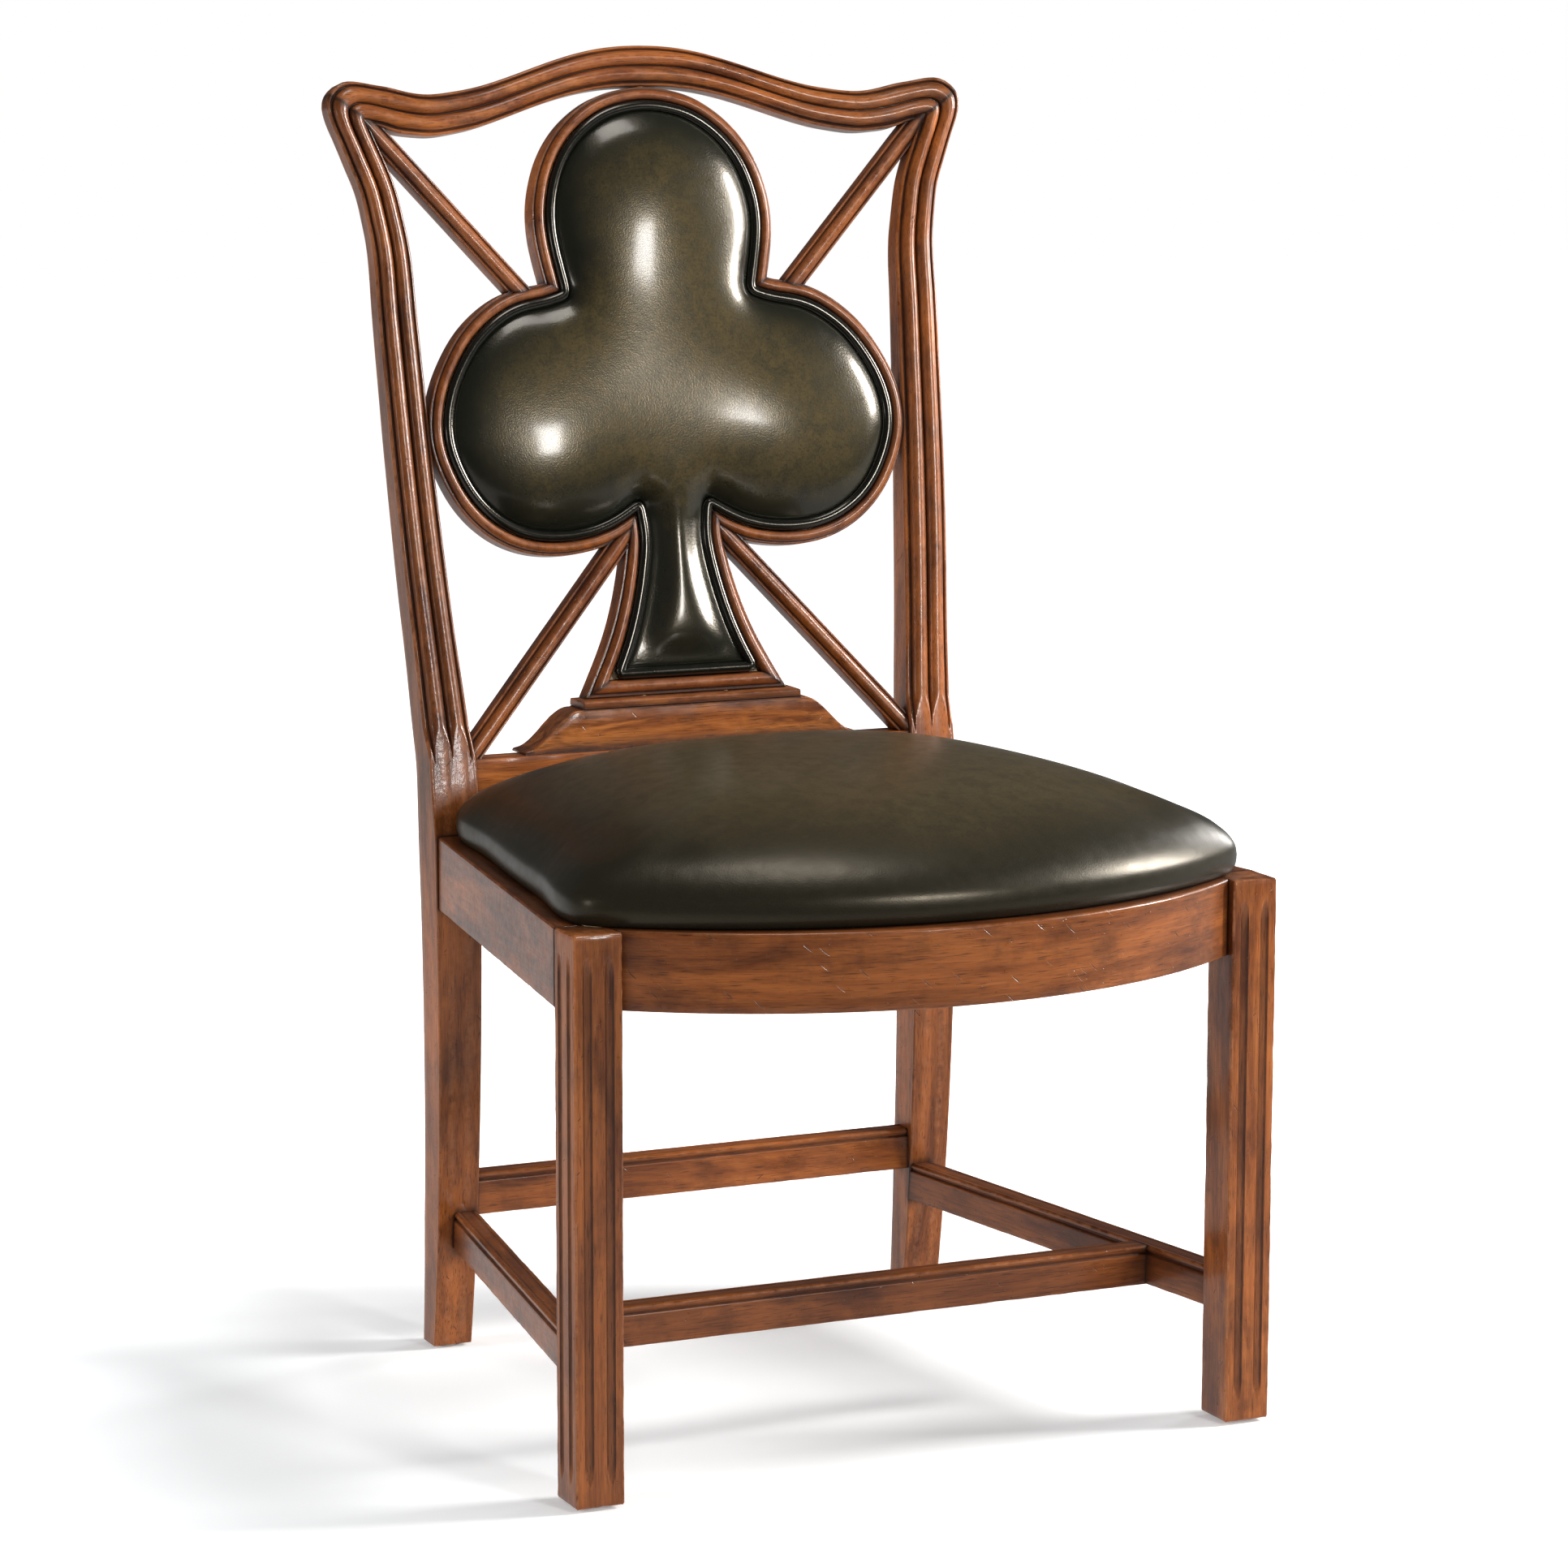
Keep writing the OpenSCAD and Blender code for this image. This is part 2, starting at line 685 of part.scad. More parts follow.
// The space behind the raked face of a back foot, at the side stretcher's height
module foot_front_cut() {
    z0 = low_bar_z - 1;
    z1 = low_bar_z + bar_h + 1;
    y0 = seat_d + rake_at(z0);
    y1 = seat_d + rake_at(z1);
    rotate([90, 0, 90])
        linear_extrude(front_half)
            polygon([[y0, z0], [y0 + 90, z0], [y0 + 90, z1], [y1, z1]]);
}

module cross_stretcher() {
    far_y = cross_y + bar_t;
    near_x = side_bar_x_at(cross_y) - bar_t / 2 / cos(side_turn);
    far_x = side_bar_x_at(far_y) - bar_t / 2 / cos(side_turn);
    color(wood)
        placed()
            union() {
                intersection() {
                    translate([-front_half, cross_y + bar_t / 2, low_bar_z])
                        stretcher_bar(front_w, bar_h);
                    translate([0, 0, low_bar_z - 1])
                        linear_extrude(bar_h + 2)
                            polygon([[-near_x, cross_y], [near_x, cross_y], [far_x, far_y], [-far_x, far_y]]);
                }
                for (side = [-1, 1])
                    mirrored(side)
                        cross_tenon();
            }
}

module rear_stretcher() {
    color(wood)
        placed()
            union() {
                translate([-rear_bar_end, rear_bar_y + bar_t / 2, rear_bar_z])
                    stretcher_bar(2 * rear_bar_end, rear_bar_h);
                for (side = [-1, 1])
                    mirrored(side)
                        rear_bar_tenon();
            }
}

// Half of the shoe's ogee end, from the cap down to a thin toe
shoe_toe = 2.6;
function ogee(n) = [
    for (k = [0 : n])
        let (s = k / n)
        [cap_w / 2 + 3 + (shoe_w - cap_w - 6) / 2 * s, rear_top + shoe_toe + (shoe_h - shoe_toe - 0.6) * (0.5 + 0.5 * cos(180 * s))]
];

module splat_shoe() {
    right = concat([[cap_w / 2 + 1, cap_z]], ogee(12), [[shoe_w / 2, rear_top + shoe_toe], [shoe_w / 2, rear_top]]);
    outline = concat(right, [for (i = [len(right) - 1 : -1 : 0]) [-right[i][0], right[i][1]]]);
    color(wood)
        placed()
            difference() {
                translate([0, shoe_y + shoe_t, 0])
                    rotate([90, 0, 0])
                        linear_extrude(shoe_t)
                            polygon(outline);
                base_dowel_shapes(gap);
                shoe_screw_shapes(gap);
            }
}

// The cap stands a little past the shoe's back, under the leaning club frame
cap_past = 1;
module shoe_cap() {
    color(wood)
        placed()
            difference() {
                block([-cap_w / 2, cap_w / 2], [shoe_y, shoe_y + shoe_t + cap_past], [cap_z, cap_top]);
                base_dowel_shapes(gap);
            }
}

// One mitred piece of the club frame between two outline points
module club_piece(from, to) {
    color(wood)
        placed()
            difference() {
                skinned([for (i = [from : to]) club_ring(i, ring_line)], inside_out = true);
                translate([-front_half, 0, cap_top - 40])
                    cube([front_w, 2 * seat_d, 40]);
                crest_dowel_shape(gap);
                base_dowel_shapes(gap);
                pad_screw_shapes(gap);
                for (side = [-1, 1])
                    mirrored(side) {
                        strut_tenon(lower_strut, 0, gap);
                        strut_tenon(upper_strut, 0, gap);
                    }
            }
}

module club_frame_top() {
    club_piece(club_n - notch_top, club_n + notch_top);
}

module club_frame_side(side) {
    mirrored(side)
        club_piece(notch_top, notch_low);
}

module club_frame_stem(side) {
    mirrored(side)
        club_piece(notch_low, foot_corner);
}

module club_frame_base() {
    club_piece(foot_corner, club_n - foot_corner);
}

// Diagonal bars: start point by the club and end point in the frame's corner, x and z
upper_strut = [fitted([119, 149]), [mitre[0] + 1, mitre[1] + 1]];
lower_strut = [[notch_out()[0] + 3, notch_out()[1] - 2], [post_in + 1, rear_top + 4]];
function notch_out() = club_out(notch_low, ring_w);

// Runs a child that stands along +Z from a bar's start to its end
module along_strut(s) {
    a = [s[0][0], bow_at(s[0][0]), climb(s[0][1])];
    b = [s[1][0], max(0, bow_at(s[1][0])), climb(s[1][1])];
    v = b - a;
    in_back()
        translate(a)
            rotate([-asin(v[1] / norm(v)), atan2(v[0], v[2]), 0])
                children();
}

function strut_length(s) = norm([s[1][0] - s[0][0], climb(s[1][1]) - climb(s[0][1])]);

// Round tenon at a bar's start (0) or end (1)
module strut_tenon(s, end, grow = 0) {
    reach = end == 0 ? -6 : strut_length(s) - 16;
    along_strut(s)
        translate([0, strut_t / 2 + 1, reach - grow])
            cylinder(h = 24 + 2 * grow, d = dowel_d + 2 * grow, $fn = 32);
}

function strut_section() =
    let (w = strut_w / 2)
    [
        [-w, strut_t], [-w, 5.5], [-w + 1, 4.6], [-w + 3, 4.6], [-w + 3.4, 3.2], [-w * 0.35, 1.8], [0, 1.5],
        [w * 0.35, 1.8], [w - 3.4, 3.2], [w - 3, 4.6], [w - 1, 4.6], [w, 5.5], [w, strut_t]
    ];

post_plan = concat(
    [for (r = [len(foot_steps) : len(post_rings) - 1]) flat_of(post_rings[r][0])],
    [for (r = [len(post_rings) - 1 : -1 : len(foot_steps)]) flat_of(post_rings[r][16])]
);
crest_plan = concat(
    [for (s = crest_half) [s[0] + 0.01, s[1]]],
    [for (i = [len(crest_half) - 1 : -1 : 0]) [crest_half[i][2], crest_half[i][3]]]
);
function flat_of(p) =
    let (v = (p[1] - seat_d) * sin(back_lean) + (p[2] - rail_top) * cos(back_lean))
    [p[0], rail_top + v * cos(back_lean)];
function grown(outline, g) = [
    for (i = [0 : len(outline) - 1])
        let (
            n = len(outline),
            a = unit(outline[i] - outline[(i + n - 1) % n]),
            b = unit(outline[(i + 1) % n] - outline[i])
        )
        outline[i] + (left_of(a) + left_of(b)) * g / max(0.3, 1 + left_of(a) * left_of(b))
];

module strut(s, side) {
    color(wood)
        placed()
            mirrored(side)
                union() {
                    difference() {
                        along_strut(s)
                            linear_extrude(strut_length(s) + 12)
                                polygon(strut_section());
                        back_slab(club_offset(ring_w + 0.1), -10, 60);
                        back_slab(grown(post_plan, -0.15), -10, 60);
                        back_slab(grown(crest_plan, 0.15), -10, 60);
                        block([0, front_half], [rear_y - 30, rear_y + 60], [rail_z, rear_top + 0.1]);
                    }
                    intersection() {
                        union() {
                            strut_tenon(s, 0);
                            strut_tenon(s, 1);
                        }
                        block([0, front_half], [rear_y - 30, back_y + 30], [rear_top + 0.1, overall_h]);
                    }
                }
}

// Pad board and the panel that closes the back
board_d = seat_step - 0.2 - pad_board_t;

module back_pad_board() {
    color("burlywood")
        placed()
            difference() {
                bowed_slab(club_offset(-0.6), board_d, board_d + pad_board_t);
                pad_screw_shapes(gap);
            }
}

module back_panel() {
    color(hide)
        placed()
            bowed_slab(club_offset(-lip_w - 0.4), seat_step + 0.1, ring_t - 0.5);
}

pad_screw_spots = [1, 7, 14, 18, 23, 28, 33];
module pad_screw_shapes(grow = 0) {
    for (side = [-1, 1], i = pad_screw_spots)
        mirrored(side) {
            q = club_out(i, -lip_w / 2);
            in_back()
                translate([q[0], bow_at(q[0]) + ring_t + 0.4 + grow, climb(q[1])])
                    rotate([90, 0, 0]) {
                        cylinder(h = 9.5 + 2 * grow, r = 1.5 + grow, $fn = 24);
                        cylinder(h = 1.8 + 2 * grow, r = 3 + grow, $fn = 24);
                    }
        }
}

module back_pad_screws() {
    color(steel)
        placed()
            pad_screw_shapes();
}

// Ridge of the pad under each outline point of the right half: x, z and share of the crown
function ridge(i) =
    i <= notch_top ? [0, fitted([0, 75 + 113 * pow(i / notch_top, 1.3)])[1], 1] :
    i <= notch_low ?
        let (m = min(i - notch_top, notch_low - i) / 9)
        [for (v = [0 : 2]) v < 2 ? fitted([26 + 104 * m, 223 + 25 * m])[v] : 1] :
    i <= foot_corner ?
        let (m = (i - notch_low) / (foot_corner - notch_low))
        [18 * pow(m, 6), mix(stem_top + 54 * club_fit[1], club_foot + 24, m), 1 - 0.42 * m] :
    [(half_n - i) * 10, club_foot + 25, 0.55];
function ridge_of(i) = i <= half_n ? ridge(i) : let (r = ridge(club_n - i)) [-r[0], r[1], r[2]];

pad_edge = welt_d + 1.2;
pad_steps = [0, 0.1, 0.26, 0.48, 0.74];
flange_d = board_d - 0.2 - hide_t;
// A ring of the pad's crown, a share t of the way from its edge to the ridge
function pad_ring(t, sink) = [
    for (i = [0 : club_n - 1])
        let (
            e = club_out(i, -pad_edge - sink * (1 - t)),
            r = ridge_of(i),
            rise = pad_crown * r[2] * sqrt(1 - pow(1 - t, 2))
        )
        on_back(e[0] + (r[0] - e[0]) * t, e[1] + (r[1] - e[1]) * t, 3 - rise + sink)
];
function flat_ring(a, d) = [for (i = [0 : club_n - 1]) let (q = club_out(i, a)) on_back(q[0], q[1], d)];

// Triangles that close a ring of club_n points across its ridge
function zip_faces(base) =
    let (
        other = function (i) (club_n - i) % club_n,
        quads = concat(
            [for (i = [0 : notch_top - 1]) [i, i + 1, other(i + 1), other(i)]],
            [for (j = [0 : 8]) [notch_top + j, notch_top + j + 1, notch_low - j - 1, notch_low - j]],
            [for (j = [0 : 8]) [other(notch_low - j), other(notch_low - j - 1), other(notch_top + j + 1), other(notch_top + j)]],
            [[notch_top, notch_low, other(notch_low), other(notch_top)]],
            [for (i = [notch_low : half_n - 1]) [i, i + 1, other(i + 1), other(i)]]
        )
    )
    [
        for (q = quads)
            each [
                if (q[0] != q[1] && q[1] != q[2]) [q[0] + base, q[1] + base, q[2] + base],
                if (q[0] != q[2] && q[2] != q[3] && q[0] != q[3]) [q[0] + base, q[2] + base, q[3] + base]
            ]
    ];

// A solid between two stacks of club rings, each closed across the ridge
module zipped(rings) {
    n = club_n;
    m = len(rings);
    sides = [
        for (i = [0 : m - 2], j = [0 : n - 1])
            let (a = i * n + j, b = i * n + (j + 1) % n, c = (i + 1) * n + (j + 1) % n, d = (i + 1) * n + j)
            each [[a, b, c], [a, c, d]]
    ];
    low = [for (f = zip_faces(0)) [f[2], f[1], f[0]]];
    polyhedron([for (r = rings) each r], concat(sides, low, zip_faces((m - 1) * n)), convexity = 8);
}

module back_pad_leather() {
    color(hide)
        placed()
            zipped(concat(
                [for (k = [len(pad_steps) - 1 : -1 : 0]) pad_ring(pad_steps[k], hide_t)],
                [flat_ring(-pad_edge - hide_t, flange_d + hide_t), flat_ring(-1.2, flange_d + hide_t), flat_ring(-1.2, flange_d)],
                [flat_ring(-pad_edge, flange_d)],
                [for (t = pad_steps) pad_ring(t, 0)]
            ));
}

module back_pad_foam() {
    sink = hide_t + 0.2;
    under = board_d - 0.15;
    color("khaki")
        placed()
            zipped(concat(
                [for (k = [len(pad_steps) - 1 : -1 : 0]) [
                    for (i = [0 : club_n - 1])
                        let (t = pad_steps[k], e = club_out(i, -pad_edge - sink * (1 - t)), r = ridge_of(i))
                        on_back(e[0] + (r[0] - e[0]) * t, e[1] + (r[1] - e[1]) * t, under)
                ]],
                [for (t = pad_steps) pad_ring(t, sink)]
            ));
}

welt_sides = 6;
module back_pad_welt() {
    r = welt_d / 2;
    section = [for (k = [0 : welt_sides - 1]) [-r - 0.2 + r * cos(360 * k / welt_sides), flange_d - r - 0.1 + r * sin(360 * k / welt_sides)]];
    color(welt_hide)
        placed()
            skinned([for (i = [0 : club_n - 1]) club_ring(i, section)], closed = true, inside_out = true);
}

// Seat cushion outline at its widest line, right half from the front middle
seat_mid_y = seat_d / 2 - 16;
side_in = seat_margin / cos(side_turn);
function side_x(y) = front_half - side_in - (y - leg_w) * side_slope;
cushion_back = seat_d - 2.5;
function back_line(x) = cushion_back + (rear_rail_inset + 1.5) * (1 - pow(abs(x) / (post_in + 8), 4));
arc_x = [for (k = [0 : 6]) 0.9 * leg_in * sin(90 * k / 6)];
seat_half = concat(
    [for (x = arc_x) [x, bow_y - sqrt(pow(bow_r - seat_margin, 2) - x * x)]],
    [
        [leg_in - 1, seat_margin + 5.5], [front_half - seat_margin - 11, seat_margin + 9],
        [front_half - seat_margin - 3.5, seat_margin + 17], [side_x(48), 48]
    ],
    [for (k = [1 : 5]) let (y = 48 + (cushion_back - 14 - 48) * k / 5) [side_x(y), y]],
    [[side_x(cushion_back) - 2.5, cushion_back - 5], [side_x(cushion_back) - 9, cushion_back - 0.5]],
    [for (k = [0.95, 0.74, 0.5, 0.25, 0]) [k * post_in, back_line(k * post_in)]]
);
seat_line = concat(seat_half, [for (i = [len(seat_half) - 2 : -1 : 1]) [-seat_half[i][0], seat_half[i][1]]]);
seat_n = len(seat_line);

// Crown of the seat: how far in from the widest line, as a scale, and share of the height
seat_levels = [
    [0.988, 0], [0.997, 0.07], [1, 0.16], [0.996, 0.25], [0.978, 0.36], [0.94, 0.48], [0.87, 0.605],
    [0.75, 0.745], [0.58, 0.865], [0.38, 0.95], [0.18, 0.99]
];
function seat_ring(level, sink) =
    let (s = level[0] * (1 - sink / (front_half - 54)), z = max(0, (seat_crown - sink) * level[1]))
    [for (p = seat_line) [p[0] * s, seat_mid_y + (p[1] - seat_mid_y) * s, rail_top + z]];

// A cushion solid: rings from the foot up, closed by a tip, over an inner stack or a flat foot
module cushion(outer, tip, inner = [], inner_tip = undef) {
    n = len(outer[0]);
    m = len(outer);
    k = len(inner);
    points = concat([for (r = outer) each r], [tip], [for (r = inner) each r], k > 0 ? [inner_tip] : []);
    b0 = m * n + 1;
    outside = [
        for (i = [0 : m - 2], j = [0 : n - 1])
            let (a = i * n + j, b = i * n + (j + 1) % n, c = (i + 1) * n + (j + 1) % n, d = (i + 1) * n + j)
            each [[a, c, b], [a, d, c]]
    ];
    top = [for (j = [0 : n - 1]) [(m - 1) * n + j, m * n, (m - 1) * n + (j + 1) % n]];
    inside = k == 0 ? [[for (j = [0 : n - 1]) j]] : [
        for (i = [0 : k - 2], j = [0 : n - 1])
            let (a = b0 + i * n + j, b = b0 + i * n + (j + 1) % n, c = b0 + (i + 1) * n + (j + 1) % n, d = b0 + (i + 1) * n + j)
            each [[a, b, c], [a, c, d]]
    ];
    roof = k == 0 ? [] : [for (j = [0 : n - 1]) [b0 + (k - 1) * n + (j + 1) % n, b0 + k * n, b0 + (k - 1) * n + j]];
    rim = k == 0 ? [] : [for (j = [0 : n - 1]) each [[j, (j + 1) % n, b0 + (j + 1) % n], [j, b0 + (j + 1) % n, b0 + j]]];
    polyhedron(points, concat(outside, top, inside, roof, rim), convexity = 6);
}

module seat_leather() {
    inner = [for (l = seat_levels) seat_ring(l, hide_t)];
    color(hide)
        placed()
            cushion(
                [for (l = seat_levels) seat_ring(l, 0)], [0, seat_mid_y, rail_top + seat_crown],
                inner, [0, seat_mid_y, rail_top + seat_crown - hide_t]
            );
}

seat_foam_foot = [for (k = [1 : len(seat_levels) - 1]) if (seat_crown * seat_levels[k][1] > seat_board_t + 1) k][0];
module seat_foam() {
    sink = hide_t + 0.3;
    foot = seat_ring([0.985, 0], sink);
    lifted = [for (p = foot) [p[0], p[1], rail_top + seat_board_t + 0.1]];
    color("khaki")
        placed()
            cushion(
                concat([lifted], [for (k = [seat_foam_foot : len(seat_levels) - 1]) seat_ring(seat_levels[k], sink)]),
                [0, seat_mid_y, rail_top + seat_crown - sink]
            );
}

module seat_board() {
    color("burlywood")
        placed()
            difference() {
                translate([0, 0, rail_top])
                    linear_extrude(seat_board_t)
                        polygon([for (p = seat_line) [p[0] * 0.972, seat_mid_y + (p[1] - seat_mid_y) * 0.972]]);
                for (side = [-1, 1])
                    mirrored(side)
                        seat_screw_shapes(gap);
            }
}

// Thin cloth under the seat board, inside the rails
dust_t = 0.8;
module seat_dust_cover() {
    color("#1b1b1b")
        placed()
            difference() {
                intersection() {
                    translate([0, 0, rail_top - dust_t])
                        linear_extrude(dust_t)
                            polygon([
                                [-rail_x_in(30), -200], [rail_x_in(30), -200],
                                [rail_x_in(seat_d), rear_y - rear_cleat_t - 0.5], [-rail_x_in(seat_d), rear_y - rear_cleat_t - 0.5]
                            ]);
                    translate([0, bow_y, rail_top - dust_t])
                        cylinder(h = dust_t, r = bow_r - rail_t - 0.5, $fn = 360);
                }
                for (side = [-1, 1])
                    mirrored(side) {
                        translate([0, 0, 1])
                            block_plan(front_block_line(0.4), block_h);
                        translate([0, 0, 1])
                            block_plan(rear_block_line(0.4), block_h);
                        block([leg_in - 0.5, front_half], [-1, leg_w + 0.5], [0, rail_top + 1]);
                    }
            }
}
function rail_x_in(y) = front_half - rail_skew - (y - leg_w) * side_slope - 0.5;

// Corner blocks fill the corners of the seat frame and carry the seat
block_reach = 62;
function rail_face_x(y) = front_half - rail_skew - (y - leg_w) * side_slope;
block_end = 6;
block_x = leg_in - block_reach;
block_y = bow_y - sqrt(pow(bow_r - rail_t, 2) - block_x * block_x) + block_end;
function front_block_line(grow) = [
    [block_x - grow, front_y], [leg_in, front_y], [leg_in, leg_w], [front_half - rail_skew, leg_w],
    [rail_face_x(leg_w + block_reach), leg_w + block_reach + 1.6 * grow], [block_x - grow, block_y]
];
function rear_block_line(grow) = [
    [rail_face_x(seat_d - block_reach), seat_d - block_reach - 1.6 * grow], [rail_face_x(seat_d), seat_d], [post_in, seat_d],
    [post_in, rear_y], [post_in - block_reach - grow, rear_y], [post_in - block_reach - grow, rear_y - block_end]
];

module block_plan(line, h) {
    translate([0, 0, rail_top - h])
        linear_extrude(h)
            polygon(line);
}

module corner_block_front(side) {
    color("peru")
        placed()
            mirrored(side)
                difference() {
                    intersection() {
                        block_plan(front_block_line(0), block_h);
                        translate([0, bow_y, rail_top - block_h - 1])
                            cylinder(h = block_h + 2, r = bow_r - rail_t, $fn = 360);
                    }
                    block([leg_in, front_half], [-100, leg_w], [0, rail_top + 1]);
                    front_block_screw(gap);
                    side_block_screws(gap);
                    seat_screw_shapes(gap);
                }
}

module corner_block_rear(side) {
    color("peru")
        placed()
            mirrored(side)
                difference() {
                    block_plan(rear_block_line(0), block_h);
                    rear_block_screw(gap);
                    side_block_screws(gap);
                    seat_screw_shapes(gap);
                }
}

// A wood screw pointing along +Y from its head. Its hole has a pocket behind the head.
module wood_screw(length, grow = 0, pocket = 0) {
    behind = grow > 0 ? pocket : 0;
    rotate([-90, 0, 0]) {
        cylinder(h = length + grow, d = screw_d + 2 * grow, $fn = 24);
        translate([0, 0, -behind])
            cylinder(h = screw_head_h + grow + behind, d = 2 * screw_d + 2 * grow, $fn = 24);
    }
}
screw_head_h = 2.2;

block_screw_z = rail_top - block_h / 2;

screw_set = 9;
front_screw_turn = asin((leg_in - block_reach + 8) / (bow_r - rail_t));

module front_block_screw(grow = 0) {
    turn = front_screw_turn;
    translate([(bow_r - rail_t) * sin(turn), bow_y - (bow_r - rail_t) * cos(turn), block_screw_z])
        rotate([0, 0, 180 + turn])
            translate([0, -screw_set, 0])
                wood_screw(rail_t, grow, block_reach);
}

module side_block_screws(grow = 0) {
    for (y = [leg_w + block_reach - 12, seat_d - block_reach + 12])
        translate([rail_face_x(y), y, block_screw_z])
            rotate([0, 0, side_turn - 90])
                translate([0, -screw_set, 0])
                    wood_screw(rail_t, grow, block_reach);
}

module rear_block_screw(grow = 0) {
    translate([post_in - block_reach + 10, rear_y - screw_set, block_screw_z])
        wood_screw(rail_t, grow, block_reach);
}

module seat_screw_shapes(grow = 0) {
    for (p = [[leg_in - 6, leg_w + 8], [post_in + 2, seat_d - 14]])
        translate([p[0], p[1], rail_top - block_h])
            rotate([90, 0, 0])
                wood_screw(block_h + seat_board_t - 4, grow, 1);
}

module corner_block_screws() {
    color(steel)
        placed()
            for (side = [-1, 1])
                mirrored(side) {
                    front_block_screw();
                    side_block_screws();
                    rear_block_screw();
                }
}

module seat_screws() {
    color(steel)
        placed()
            for (side = [-1, 1])
                mirrored(side)
                    seat_screw_shapes();
}

// Cleat that carries the back edge of the seat
rear_cleat_t = 14;
cleat_end = post_in - block_reach - 3;

module rear_seat_cleat() {
    color("peru")
        placed()
            difference() {
                block([-cleat_end, cleat_end], [rear_y - rear_cleat_t, rear_y], [rail_top - block_h, rail_top]);
                cleat_screw_shapes(gap);
            }
}

module cleat_screw_shapes(grow = 0) {
    for (x = [-90, 0, 90])
        translate([x, rear_y - rear_cleat_t, block_screw_z])
            wood_screw(rear_cleat_t + 14, grow, 1);
}

module cleat_screws() {
    color(steel)
        placed()
            cleat_screw_shapes();
}

// Screws down through the thin ends of the shoe into the rear rail, with plugs' depth above them
module shoe_screw_shapes(grow = 0) {
    for (x = [-shoe_screw_x, shoe_screw_x])
        translate([x, shoe_y + shoe_t / 2, rear_top + shoe_screw_sink])
            rotate([-90, 0, 0])
                wood_screw(24, grow, shoe_h);
}
shoe_screw_x = cap_w / 2 - 16;
shoe_screw_sink = 14;

module shoe_screws() {
    color(steel)
        placed()
            shoe_screw_shapes();
}

module foot_glide(place, side) {
    color("ivory")
        placed()
            mirrored(side)
                union() {
                    translate([place[0], place[1], 0])
                        cylinder(h = glide_h, d = glide_d, $fn = 48);
                    glide_nail(place);
                }
}

module front_leg_left() { front_leg(-1); }
module front_leg_right() { front_leg(1); }
module back_post_left() { back_post(-1); }
module back_post_right() { back_post(1); }

front_leg_left();
front_leg_right();
back_post_left();
back_post_right();
crest_rail();
mitre_spline(-1);  // mitre_spline_left
mitre_spline(1);  // mitre_spline_right
front_seat_rail();
side_seat_rail(-1);  // side_seat_rail_left
side_seat_rail(1);  // side_seat_rail_right
rear_seat_rail();
side_stretcher(-1);  // side_stretcher_left
side_stretcher(1);  // side_stretcher_right
cross_stretcher();
rear_stretcher();
splat_shoe();
shoe_cap();
shoe_screws();
club_frame_top();
club_frame_side(-1);  // club_frame_left
club_frame_side(1);  // club_frame_right
club_frame_stem(-1);  // club_stem_left
club_frame_stem(1);  // club_stem_right
club_frame_base();
crest_dowel();
club_base_dowels();
strut(upper_strut, -1);  // upper_bar_left
strut(upper_strut, 1);  // upper_bar_right
strut(lower_strut, -1);  // lower_bar_left
strut(lower_strut, 1);  // lower_bar_right
back_pad_board();
back_pad_foam();
back_pad_leather();
back_pad_welt();
back_panel();
back_pad_screws();
seat_board();
seat_foam();
seat_leather();
seat_dust_cover();
corner_block_front(-1);  // corner_block_front_left
corner_block_front(1);  // corner_block_front_right
corner_block_rear(-1);  // corner_block_rear_left
corner_block_rear(1);  // corner_block_rear_right
corner_block_screws();
seat_screws();
rear_seat_cleat();
cleat_screws();
foot_glide(front_glide, -1);  // glide_front_left
foot_glide(front_glide, 1);  // glide_front_right
foot_glide(rear_glide, -1);  // glide_rear_left
foot_glide(rear_glide, 1);  // glide_rear_right
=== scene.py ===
"""Looks of the side chair: dense wood, leather cushions, finishes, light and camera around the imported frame.

Shapes are worked out in the part's own millimetres, with the chair facing -Y, and are placed by put().
"""

from math import asin, atan, atan2, ceil, cos, hypot, pi, radians, sin, sqrt, tan

import bmesh
import bpy
import numpy as np
from mathutils import Matrix, Vector, geometry, noise
from mathutils.bvhtree import BVHTree

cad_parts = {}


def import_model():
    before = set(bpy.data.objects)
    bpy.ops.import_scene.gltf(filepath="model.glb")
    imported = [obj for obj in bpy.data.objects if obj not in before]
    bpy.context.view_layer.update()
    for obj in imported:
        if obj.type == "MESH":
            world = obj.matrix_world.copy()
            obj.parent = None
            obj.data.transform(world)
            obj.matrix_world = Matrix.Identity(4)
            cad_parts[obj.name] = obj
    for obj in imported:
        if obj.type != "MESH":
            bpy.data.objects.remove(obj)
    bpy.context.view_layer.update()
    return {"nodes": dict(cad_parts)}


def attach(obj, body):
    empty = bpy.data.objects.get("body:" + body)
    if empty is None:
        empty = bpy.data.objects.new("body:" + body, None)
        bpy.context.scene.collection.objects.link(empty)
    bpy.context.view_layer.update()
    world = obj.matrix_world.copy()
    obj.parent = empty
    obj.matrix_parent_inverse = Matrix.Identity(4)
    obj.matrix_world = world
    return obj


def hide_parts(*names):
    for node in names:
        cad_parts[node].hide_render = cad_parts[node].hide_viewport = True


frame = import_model()
scene = bpy.context.scene
norm = np.linalg.norm

